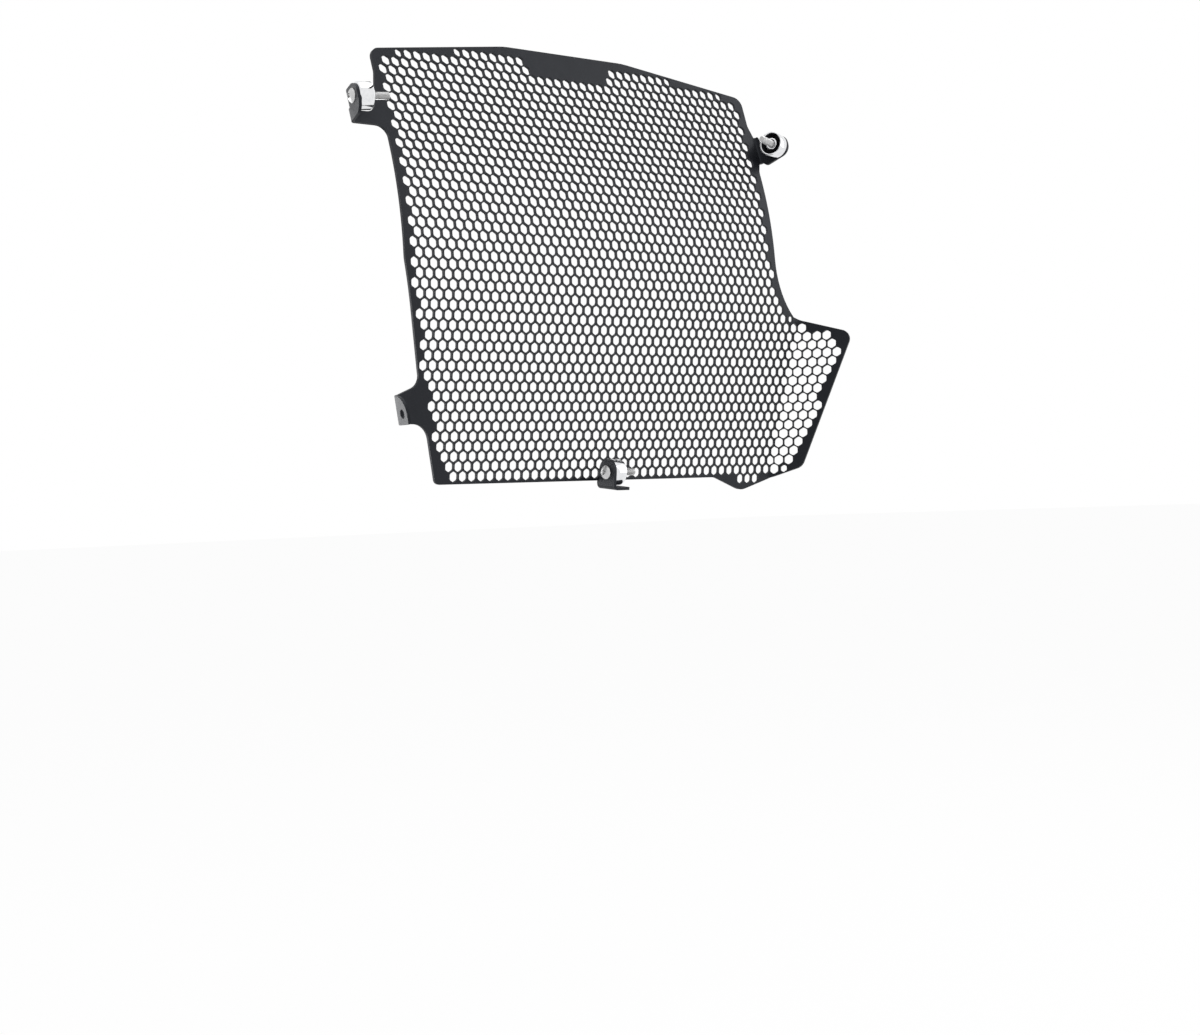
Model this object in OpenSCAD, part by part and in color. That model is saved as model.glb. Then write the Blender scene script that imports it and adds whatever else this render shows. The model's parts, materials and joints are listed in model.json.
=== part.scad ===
// Motorcycle radiator guard: one folded sheet with a honeycomb of holes, three screws and three collars.
// The origin is the centre of the lower left ear's bore, +Z is up, and the rear face, which meets the radiator,
// looks along +Y. The sheet is drawn as it lies flat, seen from behind: "side" runs to the right (-X) and "rise"
// runs up. Its sizes are measured along its middle surface, before it is folded, from the middle of the sheet.

/* [Sheet] */
// Thickness of the sheet
sheet_t = 2; // [1:0.1:4]
// Half the distance between the straight side edges
side_half = 165; // [120:1:200]
// Rise of the top edge
top_rise = 158.7; // [120:0.1:200]
// Half the length of the level part of the top edge
top_level_half = 53; // [30:1:90]
// Rise of the two upper corners
shoulder_rise = 143.4; // [110:0.1:180]
// Radius of the two upper corners
shoulder_r = 7.5; // [3:0.5:15]
// Radius where the top edge turns down
top_turn_r = 60; // [20:5:100]
// Rise where the left edge starts to run in
knee_rise = 2; // [-20:1:20]
// How far the left edge has run in at the waist
waist_in = 11; // [4:0.5:20]
// Drop of the waist below the middle
waist_drop = 69.2; // [50:0.1:90]
// How far the lower left corner lies inside the side edge
foot_in = 26.7; // [15:0.1:40]
// Drop of the bottom edge
foot_drop = 141.3; // [110:0.1:170]
// Radius of the lower left corner
foot_r = 4; // [2:0.5:10]

/* [Curve] */
// Radius of the curve that the middle of the sheet is rolled to
roll_r = 264; // [200:1:400]
// Rise where the rolled part ends and the upper part is flat
roll_top = 78; // [50:1:86]
// Drop where the rolled part ends and the lower part is flat
roll_drop = 30; // [26:1:50]

/* [Honeycomb] */
// Distance between the centres of neighbouring holes
cell_pitch = 22.5; // [18:0.5:30]
// Width of the web between two holes
cell_web = 2.7; // [2:0.1:4]
// Least strip of solid sheet between a hole's flat and the outline
cell_rim = 4; // [3:0.5:8]
// Rise of the highest row of holes, under the plain patch
cell_top_rise = 129.9; // [110:0.1:135]

/* [Wing] */
// Side distance of the wing's fold line, at its reference point
fold_side = 182.8; // [160:0.1:200]
// Drop of the fold line's reference point
fold_drop = 60; // [40:1:80]
// Lean of the fold line, its top outwards
fold_lean = 11.8; // [5:0.1:20]
// Angle that the wing is folded back by
fold_turn = 63; // [30:1:80]
// Radius of the wing's bend, on the middle surface
fold_r = 5; // [3:0.5:8]
// Side distance where the bottom edge starts to drop to the wing
bulge_start = 108.7; // [90:0.1:120]
// Side distance of the lowest point of the bottom edge
bulge_side = 135.4; // [125:0.1:145]
// Drop of the lowest point of the bottom edge
bulge_drop = 151.5; // [145:0.1:160]
// Radius of the two turns of the bulge
bulge_r = 14; // [5:1:20]
// Side distance of the wing's lower corner
wing_low_side = 190.3; // [185:0.1:200]
// Drop of the wing's lower corner
wing_low_drop = 135.7; // [125:0.1:145]
// Radius of the wing's lower corner
wing_low_r = 8; // [3:0.5:12]
// Side distance of the wing's upper corner
wing_high_side = 229.6; // [215:0.1:245]
// Drop of the wing's upper corner
wing_high_drop = 38.4; // [30:0.1:50]
// Radius of the wing's upper corner
wing_high_r = 6.5; // [3:0.5:12]
// Rise where the side edge starts to flare out to the wing
flare_rise = 17; // [5:1:30]
// Radius of the flare
flare_r = 57; // [45:1:70]
// Side distance where the flare meets the wing's top edge
flare_side = 182.7; // [178:0.1:184]
// Drop where the flare meets the wing's top edge
flare_drop = 24.4; // [23:0.1:25]

/* [Upper left ear] */
// Rise of the arm's lower edge
left_arm_rise = 88.9; // [82:0.1:95]
// Height of the arm
left_arm_h = 8.5; // [6:0.1:12]
// Length of the arm from the side edge to the ear's own plane
left_arm_reach = 25.5; // [20:0.5:35]
// Angle that the ear is folded back by
left_ear_turn = 79; // [60:1:90]
// Length of the ear, from the fold
left_ear_l = 18; // [16:0.5:26]
// Height of the ear
left_ear_h = 20.6; // [18:0.1:26]
// Distance of the ear's hole from the fold
left_hole_l = 10.4; // [8:0.1:14]
// Height of the ear's hole above its lower edge
left_hole_h = 13; // [10:0.1:16]
// Rise where the side edge starts to widen towards the arm
left_root_rise = 127; // [115:1:135]
// How far the side edge has widened at the arm
left_root_out = 7; // [3:0.5:10]

/* [Upper right ear] */
// Rise of the lower end of the fold
right_fold_low = 91.2; // [86:0.1:96]
// Rise of the upper end of the fold
right_fold_high = 112; // [106:0.1:116]
// How far the lower end of the fold stands outside the side edge
right_fold_start = 4.4; // [3:0.1:8]
// How far the upper end of the fold stands outside the side edge
right_fold_out = 5; // [3:0.1:10]
// Rise where the side edge starts to widen towards the fold, from below
right_foot_rise = 84; // [78:1:88]
// Rise where the side edge starts to widen towards the fold, from above
right_root_rise = 121; // [116:1:130]
// Angle that the ear is folded back by
right_ear_turn = 71.6; // [50:0.1:90]
// Distance of the ear's hole from the fold
right_hole_l = 16.2; // [12:0.1:18]
// Distance of the ear's hole from the lower end of the fold
right_hole_h = 7.4; // [7:0.1:12]
// Length of the ear past its hole
right_end_l = 8.8; // [8.5:0.1:12]
// Half the height of the ear at its end
right_tip_half = 7.4; // [7:0.1:10]
// Distance of the ear's lowest point from the fold
right_belly_l = 4.6; // [4:0.1:10]
// How far the ear's lower edge hangs below the fold there
right_belly = 3.1; // [0.5:0.1:5]
// Distance from the fold where the ear's upper edge has come down
right_waist_l = 4.2; // [3:0.1:8]
// Height of the ear's upper edge there
right_waist_h = 16.6; // [16:0.1:20]

/* [Lower left ear] */
// Drop of the arm's lower edge
low_arm_drop = 102.6; // [95:0.1:110]
// Height of the arm where it meets the ear
low_arm_h = 18.8; // [14:0.1:22]
// Side distance of the ear's fold at its lower end, to the left
low_ear_side = 166.9; // [164:0.1:180]
// Lean of the fold, its top outwards
low_fold_lean = 12.5; // [0:0.5:15]
// Drop of the arm's upper edge where it leaves the sheet
low_root_drop = 77; // [72:0.5:82]
// Angle that the ear is folded back by
low_ear_turn = 80; // [60:1:90]
// Length of the ear, from the fold
low_ear_l = 16.4; // [15:0.1:26]
// Distance of the ear's hole from the fold
low_hole_l = 9.4; // [7:0.1:12]
// Height of the ear's hole above its lower corner
low_hole_h = 7.9; // [5:0.1:10]
// Bore of the lower left ear, which a screw goes through
low_bore_d = 6; // [4:0.1:8]
// How far the ear's lower edge has risen at its free end
low_ear_rise = 1.8; // [0.5:0.1:4]
// Radius of the ear's upper free corner
low_end_r = 11.5; // [5:0.5:12]

/* [Bottom bracket] */
// Side distance of the upright ear's own plane, to the left
base_ear_side = 3; // [0:0.5:10]
// Distance of its hole behind the sheet
base_hole_l = 12; // [11:0.5:18]
// Height of its hole above the bottom edge
base_hole_h = 6.5; // [3:0.5:10]
// Radius of the upright ear round its hole
base_end_r = 9; // [7:0.5:12]
// Width of the shelf beside the ear
base_shelf_w = 11; // [8:0.5:16]

/* [Bends] */
// Radius of the small bends, on the middle surface
bend_r = 2.5; // [1.5:0.1:4]
// Radius of the hollow corners beside the arms
root_r = 8; // [4:0.5:12]
// Radius of the ears' free corners
ear_r = 7.5; // [3:0.5:9]

/* [Fasteners] */
// Diameter of the screw's shank
screw_d = 5; // [4:0.1:6]
// Length of the screw under its head
screw_l = 25; // [20:1:35]
// Diameter of the screw's head
head_d = 9.5; // [8:0.1:12]
// Height of the screw's head
head_h = 2.75; // [2:0.05:4]
// Height of the straight rim under the head's dome
head_lip = 0.4; // [0.2:0.1:0.8]
// Width across flats of the hexagon socket
socket_w = 3; // [2:0.5:4]
// Depth of the hexagon socket
socket_depth = 1.6; // [1:0.1:2.2]
// Effective diameter of the thread, midway between its crests and roots
thread_d = 4.5; // [3.6:0.1:5.4]
// Length of the threaded end
thread_l = 13.5; // [8:0.5:20]
// Width of the chamfer at the screw's tip
tip_chamfer = 0.6; // [0.3:0.1:1]
// Clearance round the screw in the bores that it goes through
bore_gap = 0.3; // [0.1:0.05:0.6]
// Outer diameter of the collar
collar_d = 17.7; // [15:0.1:20]
// Length of the collar
collar_l = 9.5; // [7:0.1:14]
// Wall of the collar, its base and its inner sleeve
collar_wall = 1.2; // [0.8:0.1:2]
// Outer diameter of the collar's inner sleeve
sleeve_d = 8.6; // [8:0.1:11]
// How far the inner sleeve stops short of the rim
sleeve_short = 1; // [0.5:0.1:3]
// Chamfer round the collar's base
collar_chamfer = 0.8; // [0.3:0.1:1.5]
// Space between the collar and the shelf under it
collar_space = 0.8; // [0.4:0.1:2]

/* [Colours] */
// Colour of the coated sheet
sheet_colour = "DimGray"; // [DimGray, Black, SlateGray]
// Colour of the screws
screw_colour = "Silver"; // [Silver, DarkGray, Gold]
// Colour of the collars
collar_colour = "Gainsboro"; // [Gainsboro, Silver, DimGray]

/* [Part] */
// The piece to show

/* [Hidden] */
$fn = 48;
// Facets of a full turn of the rolled part's large radius
roll_facets = 180;
// Largest step of turn along a drawn corner, in degrees
corner_step = 12;
// Steps of turn in a bend
bend_steps = 8;
half_t = sheet_t / 2;
// Each folded piece enters the sheet that it grows from by lap_l, thinner than it by lap on every side
lap = sheet_t / 40;
lap_l = sheet_t / 2;
row_step = cell_pitch * sqrt(3) / 2;
cell_flats = cell_pitch - cell_web;
cell_d = cell_flats * 2 / sqrt(3);
cell_depth = 3 * sheet_t;
cell_clear = cell_flats / 2 + cell_rim;
// Angles of the rolled part's two ends
roll_top_turn = roll_top / roll_r * 180 / PI;
roll_low_turn = -roll_drop / roll_r * 180 / PI;
// Length of the wing's bend along the middle surface
fold_l = fold_r * fold_turn * PI / 180;
fold_point = [fold_side, -fold_drop];
fold_across = [cos(fold_lean), -sin(fold_lean)];
fold_along = [sin(fold_lean), cos(fold_lean)];
// A reach that passes every edge of the sheet
span = 2 * (side_half + wing_high_side);
screw_bore = screw_d + 2 * bore_gap;
left_plane = side_half + left_arm_reach;
right_lean = atan2(right_fold_out - right_fold_start, right_fold_high - right_fold_low);
right_fold_l = norm([right_fold_out - right_fold_start, right_fold_high - right_fold_low]);
right_across = [cos(right_lean), -sin(right_lean)];
// Ends of the right ear's bend line, which lies inside the fold by the bend's setback
right_low = [side_half + right_fold_start, right_fold_low] - setback(right_ear_turn) * right_across;
right_high = [side_half + right_fold_out, right_fold_high] - setback(right_ear_turn) * right_across;
low_across = [-cos(low_fold_lean), -sin(low_fold_lean)];
low_along = [-sin(low_fold_lean), cos(low_fold_lean)];
// Ends of the lower left ear's bend line
low_corner = [-low_ear_side, -low_arm_drop] - setback(low_ear_turn) * low_across;
low_top = low_corner + low_arm_h * low_along;
shelf_drop = foot_drop - base_hole_h + collar_d / 2 + collar_space + half_t;

// Points of the flat sheet, each with the radius of its corner: [side, rise, radius]
bottom_points = [
    [foot_in - side_half, -foot_drop, foot_r],
    [bulge_start, -foot_drop, bulge_r],
    [bulge_side, -bulge_drop, bulge_r],
];
wing_points = [
    [wing_low_side, -wing_low_drop, wing_low_r],
    [wing_high_side, -wing_high_drop, wing_high_r],
];
flare_turn = acos(1 - (flare_side - side_half) / flare_r);
flare_points = [
    [flare_side, -flare_drop, 0],
    for (i = [5 : -1 : 0])
        [side_half + flare_r * (1 - cos(flare_turn * i / 6)), flare_rise - flare_r * sin(flare_turn * i / 6), 0],
];
upper_points = [
    [side_half, right_foot_rise, root_r],
    [right_low.x, right_low.y, 0],
    [right_high.x, right_high.y, 0],
    [side_half, right_root_rise, root_r],
    [side_half, shoulder_rise, shoulder_r],
    [top_level_half, top_rise, top_turn_r],
    [-top_level_half, top_rise, top_turn_r],
    [-side_half, shoulder_rise, shoulder_r],
    [-side_half, left_root_rise, root_r],
    [-side_half - left_root_out, left_arm_rise + left_arm_h, root_r],
    [setback(left_ear_turn) - left_plane, left_arm_rise + left_arm_h, 0],
    [setback(left_ear_turn) - left_plane, left_arm_rise, 0],
    [-side_half, left_arm_rise, root_r],
    [-side_half, knee_rise, 3 * root_r],
];
low_left_points = [
    [waist_in - side_half, -waist_drop, 0],
    [left_edge(low_root_drop), -low_root_drop, root_r],
    [low_top.x, low_top.y, 0],
    [low_corner.x, low_corner.y, 0],
    [left_edge(low_arm_drop), -low_arm_drop, 1.5 * root_r],
];
fold_low = on_fold(bottom_points[2], wing_points[0], -fold_l / 2);
fold_high = on_fold(flare_points[0], wing_points[1], -fold_l / 2);
// The wing's edges turn just past its bend
bend_low = on_fold(bottom_points[2], wing_points[0], fold_l / 2 + lap_l);
bend_high = on_fold(flare_points[0], wing_points[1], fold_l / 2 + lap_l);
blank_points = concat(bottom_points, wing_points, flare_points, upper_points, low_left_points);
main_points = concat(bottom_points, [fold_low, fold_high], flare_points, upper_points, low_left_points);

// Side distance of the left edge below the waist, at a drop
function left_edge(drop) =
    waist_in - side_half + (foot_in - waist_in) * (drop - waist_drop) / (foot_drop - waist_drop);

// Distance from a small bend's start to the plane that it turns into
function setback(turn) = bend_r * tan(turn / 2);

// Distance of a point across the wing's fold line, and along it
function across(p) = ([p.x, p.y] - fold_point) * fold_across;
function along(p) = ([p.x, p.y] - fold_point) * fold_along;

// Point of the edge from p to q that lies at a distance across the fold line
function on_fold(p, q, distance) =
    let (share = (distance - across(p)) / (across(q) - across(p)))
    [p.x + (q.x - p.x) * share, p.y + (q.y - p.y) * share, 0];

// Corner of an outline, turned into an arc where it has a radius
function rounded_corner(before, corner, after) =
    let (a = [before.x, before.y], b = [corner.x, corner.y], c = [after.x, after.y], r = corner[2])
    let (u = (a - b) / norm(a - b), w = (c - b) / norm(c - b), half = acos(u * w) / 2)
    let (centre = b + (u + w) / norm(u + w) * r / sin(half), start = b + u * r / tan(half) - centre)
    let (turn = (180 - 2 * half) * (u.x * w.y - u.y * w.x < 0 ? 1 : -1), from = atan2(start.y, start.x))
    let (steps = max(1, ceil(abs(turn) / corner_step)))
    r == 0 ? [b] : [for (i = [0 : steps]) centre + r * [cos(from + turn * i / steps), sin(from + turn * i / steps)]];
function rounded(points) =
    let (n = len(points))
    [for (i = [0 : n - 1]) each rounded_corner(points[(i + n - 1) % n], points[i], points[(i + 1) % n])];

// Distance of a point from the edge between a and b
function edge_distance(p, a, b) =
    let (share = max(0, min(1, (p - a) * (b - a) / ((b - a) * (b - a)))))
    norm(p - a - share * (b - a));
// 1 where a level line to the right of the point crosses the edge between a and b
function crosses(p, a, b) =
    (a.y > p.y) == (b.y > p.y) ? 0 : p.x < a.x + (b.x - a.x) * (p.y - a.y) / (b.y - a.y) ? 1 : 0;
function total(list) = list * [for (i = list) 1];
function flat_edges(points) =
    let (n = len(points))
    [for (i = [0 : n - 1]) [[points[i].x, points[i].y], [points[(i + 1) % n].x, points[(i + 1) % n].y]]];
// True where a hole at the point keeps its strip of solid sheet all round
function fits(p, edges) =
    total([for (e = edges) crosses(p, e[0], e[1])]) % 2 == 1
    && min([for (e = edges) edge_distance(p, e[0], e[1])]) >= cell_clear;

// Turn, rise and set-back of the rolled sheet at a rise along it
function held_rise(rise) = max(-roll_drop, min(roll_top, rise));
function turn_at(rise) = held_rise(rise) / roll_r * 180 / PI;
function rise_at(rise) = roll_r * sin(turn_at(rise)) + (rise - held_rise(rise)) * cos(turn_at(rise));
function back_at(rise) = -roll_r * (1 - cos(turn_at(rise))) - (rise - held_rise(rise)) * sin(turn_at(rise));

// Centres of the holes, on the flat sheet
row_count = floor((cell_top_rise + bulge_drop) / row_step);
column_count = ceil(wing_high_side / cell_pitch);
blank_edges = flat_edges(blank_points);
cells = [
    for (row = [0 : row_count], column = [-column_count : column_count])
        let (p = [(column + (row % 2) / 2) * cell_pitch, cell_top_rise - row * row_step])
        if (fits(p, blank_edges)) p
];

// Centre of the lower left ear's bore, from the middle of the sheet: side, height and distance behind
low_bore = [-low_ear_side, -low_arm_drop] + low_hole_h * low_along + low_hole_l * cos(low_ear_turn) * low_across;
low_bore_rise = low_bore.y + roll_drop;
low_bore_back = low_hole_l * sin(low_ear_turn);
origin = [
    low_bore.x,
    rise_at(-roll_drop) + low_bore_rise * cos(roll_low_turn) + low_bore_back * sin(roll_low_turn),
    back_at(-roll_drop) - low_bore_rise * sin(roll_low_turn) + low_bore_back * cos(roll_low_turn),
];

// Frames: from the flat sheet seen from behind to the part's own frame
module from_behind() {
    rotate([90, 0, 180])
        translate(-origin)
            children();
}

// A place on the rolled sheet, with the sheet's middle surface as its own floor
module at_rise(rise) {
    translate([0, rise_at(rise), back_at(rise)])
        rotate([-turn_at(rise), 0, 0])
            children();
}

// The upper and lower flat parts of the sheet, in the flat sheet's own measures
module on_upper_flat() {
    at_rise(roll_top)
        translate([0, -roll_top, 0])
            children();
}

module on_lower_flat() {
    at_rise(-roll_drop)
        translate([0, roll_drop, 0])
            children();
}

// The start of the wing's bend: x runs across the fold and y along it
module at_bend() {
    on_lower_flat()
        translate([fold_side, -fold_drop, 0])
            rotate([0, 0, -fold_lean])
                translate([-fold_l / 2, 0, 0])
                    children();
}

// Past a bend that starts at x = 0 and turns up by an angle
module past_bend(turn, r) {
    translate([r * sin(turn), 0, r * (1 - cos(turn))])
        rotate([0, -turn, 0])
            children();
}

// A strip from y = low to y = high that runs in over a lead, bends up at x = 0 and runs on over a reach
module bent_strip(turn, r, low, high, lead, reach, inset = lap) {
    h = half_t - inset;
    bend_path = [for (i = [0 : bend_steps]) let (a = turn * i / bend_steps) [r * sin(a), r * (1 - cos(a)), a]];
    reach_end = [r * sin(turn) + reach * cos(turn), r * (1 - cos(turn)) + reach * sin(turn), turn];
    path = concat([[-lead, 0, 0]], bend_path, [reach_end]);
    last = len(path) - 1;
    inner = [for (p = path) [p.x - h * sin(p[2]), p.y + h * cos(p[2])]];
    outer = [for (i = [last : -1 : 0]) [path[i].x + h * sin(path[i][2]), path[i].y - h * cos(path[i][2])]];
    translate([0, high, 0])
        rotate([90, 0, 0])
            linear_extrude(high - low)
                polygon(concat(inner, outer));
}

// A bent strip cut to an outline in the plane that it turns into
module flange(turn, r, reach, points) {
    rises = [for (p = points) p.y];
    depth = 2 * (r + sheet_t);
    intersection() {
        bent_strip(turn, r, min(rises) - sheet_t, max(rises) + sheet_t, lap_l, reach + sheet_t);
        past_bend(turn, r)
            translate([0, 0, -depth])
                linear_extrude(2 * depth)
                    polygon(rounded(points));
    }
}

// A flat plate of the sheet's thickness, with its middle surface at z = 0
module plate(points) {
    translate([0, 0, -half_t])
        linear_extrude(sheet_t)
            polygon(points);
}

// The three parts of the sheet: flat, rolled and flat
module upper_flat() {
    on_upper_flat()
        intersection() {
            plate(rounded(main_points));
            translate([-span / 2, roll_top, -sheet_t])
                cube([span, top_rise, 2 * sheet_t]);
        }
}

module lower_flat() {
    on_lower_flat()
        intersection() {
            plate(rounded(main_points));
            translate([-span / 2, -roll_drop - 2 * bulge_drop, -sheet_t])
                cube([span, 2 * bulge_drop, 2 * sheet_t]);
        }
}

module rolled_middle() {
    lap_turn = lap_l / roll_r * 180 / PI;
    inner_share = 1 - lap / side_half;
    intersection() {
        translate([0, 0, -roll_r])
            rotate([0, -90, 0])
                rotate([0, 0, roll_low_turn - lap_turn])
                    rotate_extrude(angle = roll_top_turn - roll_low_turn + 2 * lap_turn, $fn = roll_facets)
                        translate([roll_r - half_t + lap, -span / 2])
                            square([sheet_t - 2 * lap, span]);
        translate([0, 0, -span / 2])
            linear_extrude(span)
                polygon([for (p = rounded(main_points)) [p.x * inner_share, rise_at(p.y)]]);
    }
}

// The wing, bent back along its leaning fold line
module wing() {
    bend_x = -fold_r * sin(fold_turn);
    start_x = bend_x - fold_r;
    low = along(fold_low) + lap;
    high = along(fold_high) - lap;
    outline = [for (p = [bend_low, wing_points[0], wing_points[1], bend_high])
        [across(p) - fold_l / 2, along(p), p[2]]];
    corners = concat([[start_x, low, 0], [bend_x, low, 0]], outline, [[bend_x, high, 0], [start_x, high, 0]]);
    at_bend()
        flange(fold_turn, fold_r, wing_high_side - fold_side, corners);
}

// A hole's cutting prism, with two of its flats upright
module cell() {
    rotate([0, 0, 30])
        cylinder(d = cell_d, h = cell_depth, center = true, $fn = 6);
}

// The halves of space on each side of the wing's bend
module bend_side(wing_half) {
    reach = 2 * cell_pitch;
    translate([0, 0, fold_r])
        rotate([0, -fold_turn / 2, 0])
            translate([wing_half ? 0 : -reach, -span / 2, -reach])
                cube([reach, span, 2 * reach]);
}

module wing_cell(p) {
    past_bend(fold_turn, fold_r)
        translate([across(p) - fold_l / 2, along(p), 0])
            rotate([0, 0, fold_lean])
                cell();
}

module main_cell(p) {
    translate([across(p) + fold_l / 2, along(p), 0])
        rotate([0, 0, fold_lean])
            cell();
}

module honeycomb() {
    reach = cell_d / 2 + fold_l / 2;
    for (p = cells)
        if (across(p) < -reach)
            at_rise(p.y)
                translate([p.x, 0, 0])
                    cell();
    for (p = cells)
        if (across(p) > reach)
            at_bend()
                wing_cell(p);
    for (p = cells)
        if (abs(across(p)) <= reach)
            at_bend() {
                intersection() {
                    main_cell(p);
                    bend_side(false);
                }
                intersection() {
                    wing_cell(p);
                    bend_side(true);
                }
            }
}

// Each ear's plane: x runs along the ear from its fold, y up it, and z out of its inner face
module on_upper_left_ear() {
    on_upper_flat()
        mirror([1, 0, 0])
            translate([left_plane - setback(left_ear_turn), left_arm_rise, 0])
                past_bend(left_ear_turn, bend_r)
                    translate([-setback(left_ear_turn), 0, 0])
                        children();
}

module at_right_fold() {
    on_upper_flat()
        translate([right_low.x, right_low.y, 0])
            rotate([0, 0, -right_lean])
                children();
}

module on_upper_right_ear() {
    at_right_fold()
        past_bend(right_ear_turn, bend_r)
            translate([-setback(right_ear_turn), 0, 0])
                children();
}

module at_low_fold() {
    on_lower_flat()
        mirror([1, 0, 0])
            translate([-low_corner.x, low_corner.y, 0])
                rotate([0, 0, -low_fold_lean])
                    children();
}

module on_lower_left_ear() {
    at_low_fold()
        past_bend(low_ear_turn, bend_r)
            translate([-setback(low_ear_turn), 0, 0])
                children();
}

// The centre of each ear's bore, on the ear's middle surface, with z out of its inner face
module at_upper_left_bore() {
    on_upper_left_ear()
        translate([left_hole_l, left_hole_h, 0])
            children();
}

module at_upper_right_bore() {
    on_upper_right_ear()
        translate([right_hole_l, right_hole_h, 0])
            children();
}

module at_lower_left_bore() {
    on_lower_left_ear()
        translate([low_hole_l, low_hole_h, 0])
            children();
}

module at_lower_centre_bore() {
    on_lower_flat()
        translate([-base_ear_side, base_hole_h - foot_drop, base_hole_l])
            rotate([0, 90, 0])
                children();
}

module upper_left_ear() {
    start = setback(left_ear_turn);
    on_upper_flat()
        mirror([1, 0, 0])
            translate([left_plane - start, left_arm_rise, 0])
                flange(left_ear_turn, bend_r, left_ear_l, [
                    [-2 * bend_r, lap, 0],
                    [left_ear_l - start, lap, ear_r],
                    [left_ear_l - start, left_ear_h, ear_r],
                    [lap_l, left_ear_h, bend_r / 2],
                    [lap_l, left_arm_h - lap, 0],
                    [-2 * bend_r, left_arm_h - lap, 0],
                ]);
}

module upper_right_ear() {
    start = setback(right_ear_turn);
    end_l = right_hole_l + right_end_l - start;
    at_right_fold()
        flange(right_ear_turn, bend_r, end_l, [
            [-2 * bend_r, lap, 0],
            [lap_l, lap, 0],
            [right_belly_l - start, -right_belly, ear_r / 2],
            [end_l, right_hole_h - right_tip_half, ear_r],
            [end_l, right_hole_h + right_tip_half, ear_r],
            [right_waist_l - start, right_waist_h, ear_r / 2],
            [lap_l, right_fold_l - lap, 0],
            [-2 * bend_r, right_fold_l - lap, 0],
        ]);
}

module lower_left_ear() {
    start = setback(low_ear_turn);
    at_low_fold()
        flange(low_ear_turn, bend_r, low_ear_l, [
            [-2 * bend_r, lap, 0],
            [lap_l, lap, 0],
            [low_ear_l - start, low_ear_rise, half_t],
            [low_ear_l - start, low_arm_h - lap, low_end_r],
            [-2 * bend_r, low_arm_h - lap, 0],
        ]);
}

// A tongue under the bottom edge, folded back into a shelf whose left edge is folded up into an ear
module bottom_bracket() {
    tongue_l = shelf_drop - bend_r - foot_drop;
    shelf_l = base_hole_l + base_end_r;
    ear_h = base_hole_h + shelf_drop - foot_drop + base_end_r;
    ear_start = 2 * bend_r;
    on_lower_flat()
        translate([bend_r - base_ear_side, -shelf_drop, 0]) {
            translate([0, bend_r, 0])
                rotate([0, 0, -90])
                    bent_strip(90, bend_r, 0, base_shelf_w, tongue_l + sheet_t, shelf_l - bend_r);
            rotate([90, 0, 180])
                intersection() {
                    bent_strip(90, bend_r, 0, shelf_l + sheet_t, sheet_t, ear_h - bend_r, 2 * lap);
                    translate([-2 * bend_r, 0, -sheet_t])
                        rotate([90, 0, 90])
                            linear_extrude(4 * bend_r)
                                polygon(rounded([
                                    [ear_start, 0, 0],
                                    [shelf_l - lap, 0, 0],
                                    [shelf_l - lap, ear_h + sheet_t, ear_r],
                                    [ear_start, ear_h + sheet_t, ear_r],
                                ]));
                }
        }
}

module through_bore(d) {
    cylinder(d = d, h = cell_depth, center = true);
}

module guard_panel() {
    color(sheet_colour)
        from_behind()
            difference() {
                union() {
                    upper_flat();
                    rolled_middle();
                    lower_flat();
                    wing();
                    upper_left_ear();
                    upper_right_ear();
                    lower_left_ear();
                    bottom_bracket();
                }
                honeycomb();
                at_upper_left_bore()
                    through_bore(screw_bore);
                at_upper_right_bore()
                    through_bore(screw_bore);
                at_lower_centre_bore()
                    through_bore(screw_bore);
                at_lower_left_bore()
                    through_bore(low_bore_d);
            }
}

// A button-head screw along z, its head on the outer face of an ear whose half thickness is the seat
module screw(seat = half_t - lap) {
    dome_h = head_h - head_lip;
    dome_r = (pow(head_d / 2, 2) + pow(dome_h, 2)) / (2 * dome_h);
    translate([0, 0, -seat]) {
        difference() {
            intersection() {
                translate([0, 0, -head_h])
                    cylinder(d = head_d, h = head_h);
                translate([0, 0, dome_r - head_h])
                    sphere(r = dome_r);
            }
            translate([0, 0, -2 * head_h])
                cylinder(d = socket_w * 2 / sqrt(3), h = head_h + socket_depth, $fn = 6);
        }
        cylinder(d = screw_d, h = screw_l - thread_l);
        cylinder(d = thread_d, h = screw_l - tip_chamfer);
        translate([0, 0, screw_l - tip_chamfer])
            cylinder(d1 = thread_d, d2 = thread_d - 2 * tip_chamfer, h = tip_chamfer);
    }
}

// A cup with an inner sleeve, open away from the ear, its base on the ear's inner face
module collar(seat = half_t - lap) {
    rim_r = collar_d / 2;
    sleeve_l = collar_l - sleeve_short;
    translate([0, 0, seat])
        rotate_extrude()
            polygon([
                [screw_bore / 2, 0],
                [rim_r - collar_chamfer, 0],
                [rim_r, collar_chamfer],
                [rim_r, collar_l],
                [rim_r - collar_wall, collar_l],
                [rim_r - collar_wall, collar_wall],
                [sleeve_d / 2, collar_wall],
                [sleeve_d / 2, sleeve_l],
                [screw_bore / 2, sleeve_l],
            ]);
}

module upper_left_screw() {
    color(screw_colour)
        from_behind()
            at_upper_left_bore()
                screw();
}

module upper_right_screw() {
    color(screw_colour)
        from_behind()
            at_upper_right_bore()
                screw();
}

module lower_centre_screw() {
    color(screw_colour)
        from_behind()
            at_lower_centre_bore()
                screw(half_t - 2 * lap);
}

module upper_left_collar() {
    color(collar_colour)
        from_behind()
            at_upper_left_bore()
                collar();
}

module upper_right_collar() {
    color(collar_colour)
        from_behind()
            at_upper_right_bore()
                collar();
}

module lower_centre_collar() {
    color(collar_colour)
        from_behind()
            at_lower_centre_bore()
                collar(half_t - 2 * lap);
}

guard_panel();
upper_left_screw();
upper_right_screw();
lower_centre_screw();
upper_left_collar();
upper_right_collar();
lower_centre_collar();
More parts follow.
